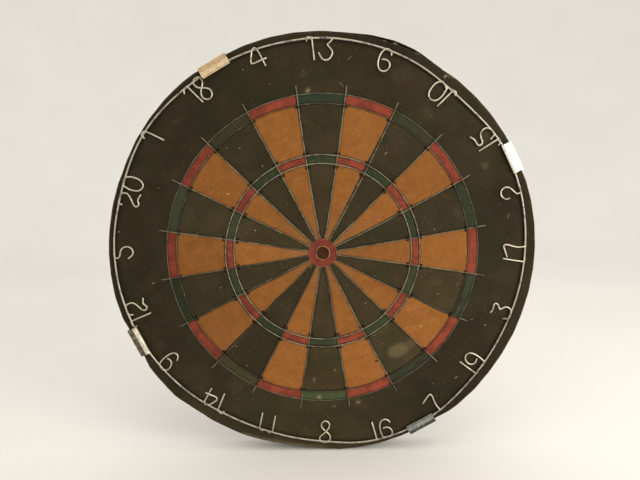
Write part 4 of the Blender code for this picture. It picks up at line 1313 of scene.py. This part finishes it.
paleFibre = fibreMaterial("paleFibre", "8f7f60", "5f5139")
creamFibre = fibreMaterial("creamFibre", "b08a58", "8d6a40")
openHole = fibreMaterial("openHole", "241a10", "130e08")

# where darts have raised the paper, on the dark fields: x, z, half length and half width in
# millimetres, tilt
darkNicks = [(-79.8, 191.7, 1.6, 0.4, 80), (-52.6, 177.4, 1, 0.4, 90), (-217, 26, 1.3, 0.8, 0),
             (-99.3, 112.4, 0.9, 0.7, 0), (-85.7, 112, 1.1, 0.8, 0), (-62.4, 93.3, 0.6, 1.6, 0),
             (29.5, 201.7, 3.2, 0.35, 40), (21, 176, 4, 0.3, -50), (199, 37.4, 3.4, 0.35, 75),
             (120, 24, 1.5, 0.6, 60), (77, 72, 1.2, 0.5, 30), (128.3, 182.6, 2.2, 1.3, 40),
             (-183.8, -30.7, 2.2, 0.7, 30), (-96.9, -102.6, 1, 0.8, 0), (-85.5, -124.8, 0.9, 0.7, 0),
             (-132.6, -11, 1.8, 0.5, 70), (-111, -36.7, 1, 0.8, 20), (124.8, -47, 1.2, 0.8, 0),
             (147, -35.5, 1.6, 0.6, 50), (178, -83, 1.2, 0.9, 0), (147.4, -142.6, 1.7, 0.9, 50),
             (46, -56, 1.7, 0.6, 40), (55.7, -92.6, 1.4, 0.6, 40), (11.7, -132, 1.6, 0.5, 60),
             (55.7, -25.5, 1, 0.6, 0), (-6, -163.6, 1.7, 1.4, 0), (37.9, -170, 1.4, 1, 0),
             (-13.6, 170, 2, 1.2, 20), (163, -76, 1.4, 0.5, 20), (-11.2, -142.6, 0.7, 2.2, 0),
             (-190, -118, 0.8, 0.5, 0), (-172, 72, 0.9, 0.4, 30), (63, 118, 0.8, 0.5, 0)]
orangeNicks = [(-99.8, 64.8, 2, 1.1, 10), (-118, 104, 1.4, 0.9, 60), (-94.5, 8.8, 0.5, 1.7, 0),
               (-72, 25.5, 0.9, 0.6, 0), (37.9, 73, 0.9, 0.7, 0), (51, 50.5, 0.9, 0.8, 0),
               (45, 25.5, 1.6, 0.5, 30), (67.6, 105.2, 2.2, 0.5, 40), (40, 124, 1.6, 0.5, 60),
               (92.6, -64, 1.6, 1, 20), (107, -83, 2.6, 0.9, -30), (60, 35, 0.8, 0.5, 0),
               (-120, -8, 0.7, 0.5, 0), (-60, -62, 0.8, 0.5, 0), (112, -4, 0.7, 0.5, 0),
               (26, -118, 0.8, 0.5, 0)]
holes = [(58, -122, 1.5, 1.1, 0), (-80.7, 95.7, 1, 0.8, 0), (-56.4, 49.3, 0.9, 0.8, 0),
         (42.6, -118, 0.8, 0.7, 0), (-30, 142, 0.7, 0.6, 0), (102, 46, 0.7, 0.6, 0),
         (-142, -52, 0.8, 0.6, 0), (88, 8, 0.6, 0.5, 0), (-40, -96, 0.7, 0.5, 0)]
scattered = dict(paleNicks=190, creamNicks=150)


def tuft(x, z, long, wide, tilt, rise, rng):
    # a low torn bump: two uneven ovals, one above the other, closed by a point above and below
    c, s = circle(7)
    uneven = 1 + 0.3 * (rng.random(7) - 0.5)
    lean = math.radians(tilt)
    rows = []
    for share, high in ((0.75, -0.0003), (1.0, 0.00002), (0.55, rise)):
        along, across = long * share * uneven * c, wide * share * uneven * s
        px = x + along * math.cos(lean) - across * math.sin(lean)
        pz = z + along * math.sin(lean) + across * math.cos(lean)
        radius, angle = asPolar(px, pz)
        rows.append(polarPlace(radius, angle, faceHeight(radius, angle) + high))
    return sleeve(np.stack(rows))


def buildNicks():
    rng = np.random.default_rng(11)
    for label, rows, material, rise in (("paleNicks", darkNicks, paleFibre, 0.00022),
                                        ("creamNicks", orangeNicks, creamFibre, 0.00022),
                                        ("dartHoles", holes, openHole, 0.00004)):
        solids = [tuft(*np.array(row[:4]) / 1000, row[4], rise, rng) for row in rows]
        # small ones everywhere, thickest where the scoring is
        odd = int(label == "creamNicks")
        for _ in range(scattered.get(label, 0)):
            sector = int(rng.integers(10)) * 2 + odd
            scored = odd or rng.random() < 0.6
            radius = 0.03 + 0.12 * rng.random() ** 0.7 if scored else 0.18 + 0.03 * rng.random()
            angle = math.radians(sector * sectorWidth + 13 * (rng.random() - 0.5))
            size = 0.00025 + 0.0004 * rng.random() ** 2
            solids.append(tuft(radius * math.sin(angle), radius * math.cos(angle), size,
                               size * (0.4 + 0.5 * rng.random()), 180 * rng.random(), 0.00012, rng))
        makePiece(label, solids, material)


# angle, distance inside the rim, half length along it and half width in millimetres
flakes = [(19.6, 0.2, 2.6, 1.2), (16.8, 1, 2.2, 0.9), (35.6, 2.2, 2.8, 1), (37, 1.2, 1.6, 0.6),
          (195.8, 1.4, 7.4, 1), (188.2, 2, 8.5, 0.9), (203, 1.4, 4.6, 0.8), (231, 0.8, 3.6, 0.7),
          (238, 0.7, 2.1, 0.5), (266.5, 0.7, 2.8, 0.5), (298, 0.7, 3.2, 0.5), (182.6, 1.6, 3.8, 0.8),
          (218, 1, 2.8, 0.6), (26, 0.8, 2.8, 0.6)]
flake = dict(thickness=0.00016, gap=0.00004, curl=0.00012, rows=31, columns=6)


def buildFlakes():
    # a torn scrap of paper: a small sheet with a ragged outline, its outer side a little loose
    solids = []
    for count, (angle, inside, long, wide) in enumerate(flakes):
        rng = np.random.default_rng(500 + count)
        u, v = np.meshgrid(np.linspace(-1, 1, flake["rows"]), np.linspace(-1, 1, flake["columns"]),
                           indexing="ij")
        # the sheet narrows to its two ends, and each long edge is torn in its own way
        narrow = 0.10 + 0.90 * np.clip(1 - np.abs(u), 0, 1) ** 0.55
        outward = narrow * (0.75 + 0.45 * rng.random(flake["rows"]))[:, None]
        inward = narrow * (0.65 + 0.55 * rng.random(flake["rows"]))[:, None]
        middleRadius = float(rimFor(np.array(angle))) - inside / 1000
        radius = middleRadius + wide / 1000 * v * np.where(v > 0, outward, inward)
        place = angle + np.degrees(long / 1000 * u / middleRadius)
        curl = flake["curl"] * ((v + 1) / 2) ** 2 * narrow * (0.6 + 0.4 * rng.random())
        height = faceHeight(radius, place) + flake["gap"] + curl
        solids.append(plateSolid(polarPlace(radius, place, height), flake["thickness"]))
    makePiece("paintFlakes", solids, barePaper)


buildNicks()
buildFlakes()
print("wear ready")


# floor, light and camera

stage = dict(reach=3.4, flat=1.5, rise=2.1)


def buildFloor(level):
    # A wide pale disc that sweeps up to a soft wall all round: past the flat part its height
    # is the rise times the square of the share of the way to its edge.
    rings, steps = 60, 128
    radius = stage["reach"] * (np.arange(1, rings + 1) / rings)[:, None] ** 1.4
    share = np.clip((radius - stage["flat"]) / (stage["reach"] - stage["flat"]), 0, 1)
    height = level + stage["rise"] * share ** 2
    c, s = circle(steps)
    grid = np.stack(np.broadcast_arrays(radius * c, radius * s, height), axis=-1)
    under = (grid - np.array([0, 0, 0.02]))[::-1]
    material, pen, place, shader = newMaterial("paleFloor", 0.6, 0.0, 0.2)
    cloud = pen.noise(place, 0.3, 3.0)
    shader["Base Color"] = pen.mix(cloud, "e6e4df", "efede9")
    pen.bump(shader, pen.noise(place, 0.004, 2.0), 0.00006)
    makeObject("floor", [sleeve(np.concatenate([grid, under]))], material)


def addLamp(name, place, target, size, power, colour):
    data = bpy.data.lights.new(name, "AREA")
    data.shape = "DISK"
    data.size = size
    data.energy = power
    data.color = paint(colour)[:3]
    lamp = bpy.data.objects.new(name, data)
    bpy.context.collection.objects.link(lamp)
    lamp.location = place
    lamp.visible_camera = False
    direction = target - lamp.location
    lamp.rotation_euler = direction.to_track_quat("-Z", "Y").to_euler()


def setStage():
    low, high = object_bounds()
    buildFloor(low.z - 0.0002)
    middle = (low + high) / 2
    addLamp("windowLight", (1.05, -0.85, 0.35), middle, 0.8, 10, "fff9ee")
    addLamp("ceilingLight", (0.2, -0.4, 2.2), middle, 1.8, 12, "fff8ec")
    world = bpy.data.worlds.new("room")
    bpy.context.scene.world = world
    world.use_nodes = True
    world.node_tree.nodes["Background"].inputs["Color"].default_value = paint("f4f2ee")
    world.node_tree.nodes["Background"].inputs["Strength"].default_value = 0.98
    data = bpy.data.cameras.new("camera")
    data.sensor_width = 36
    data.lens = 28.125
    data.clip_start = 0.01
    camera = bpy.data.objects.new("camera", data)
    bpy.context.collection.objects.link(camera)
    camera.location = (-0.0074, -0.557, 0.0853)
    camera.rotation_euler = [math.radians(angle) for angle in (82.39, 0.70, -0.59)]
    bpy.context.scene.camera = camera
    bpy.context.scene.view_settings.view_transform = "Standard"


setStage()
print("all ready")
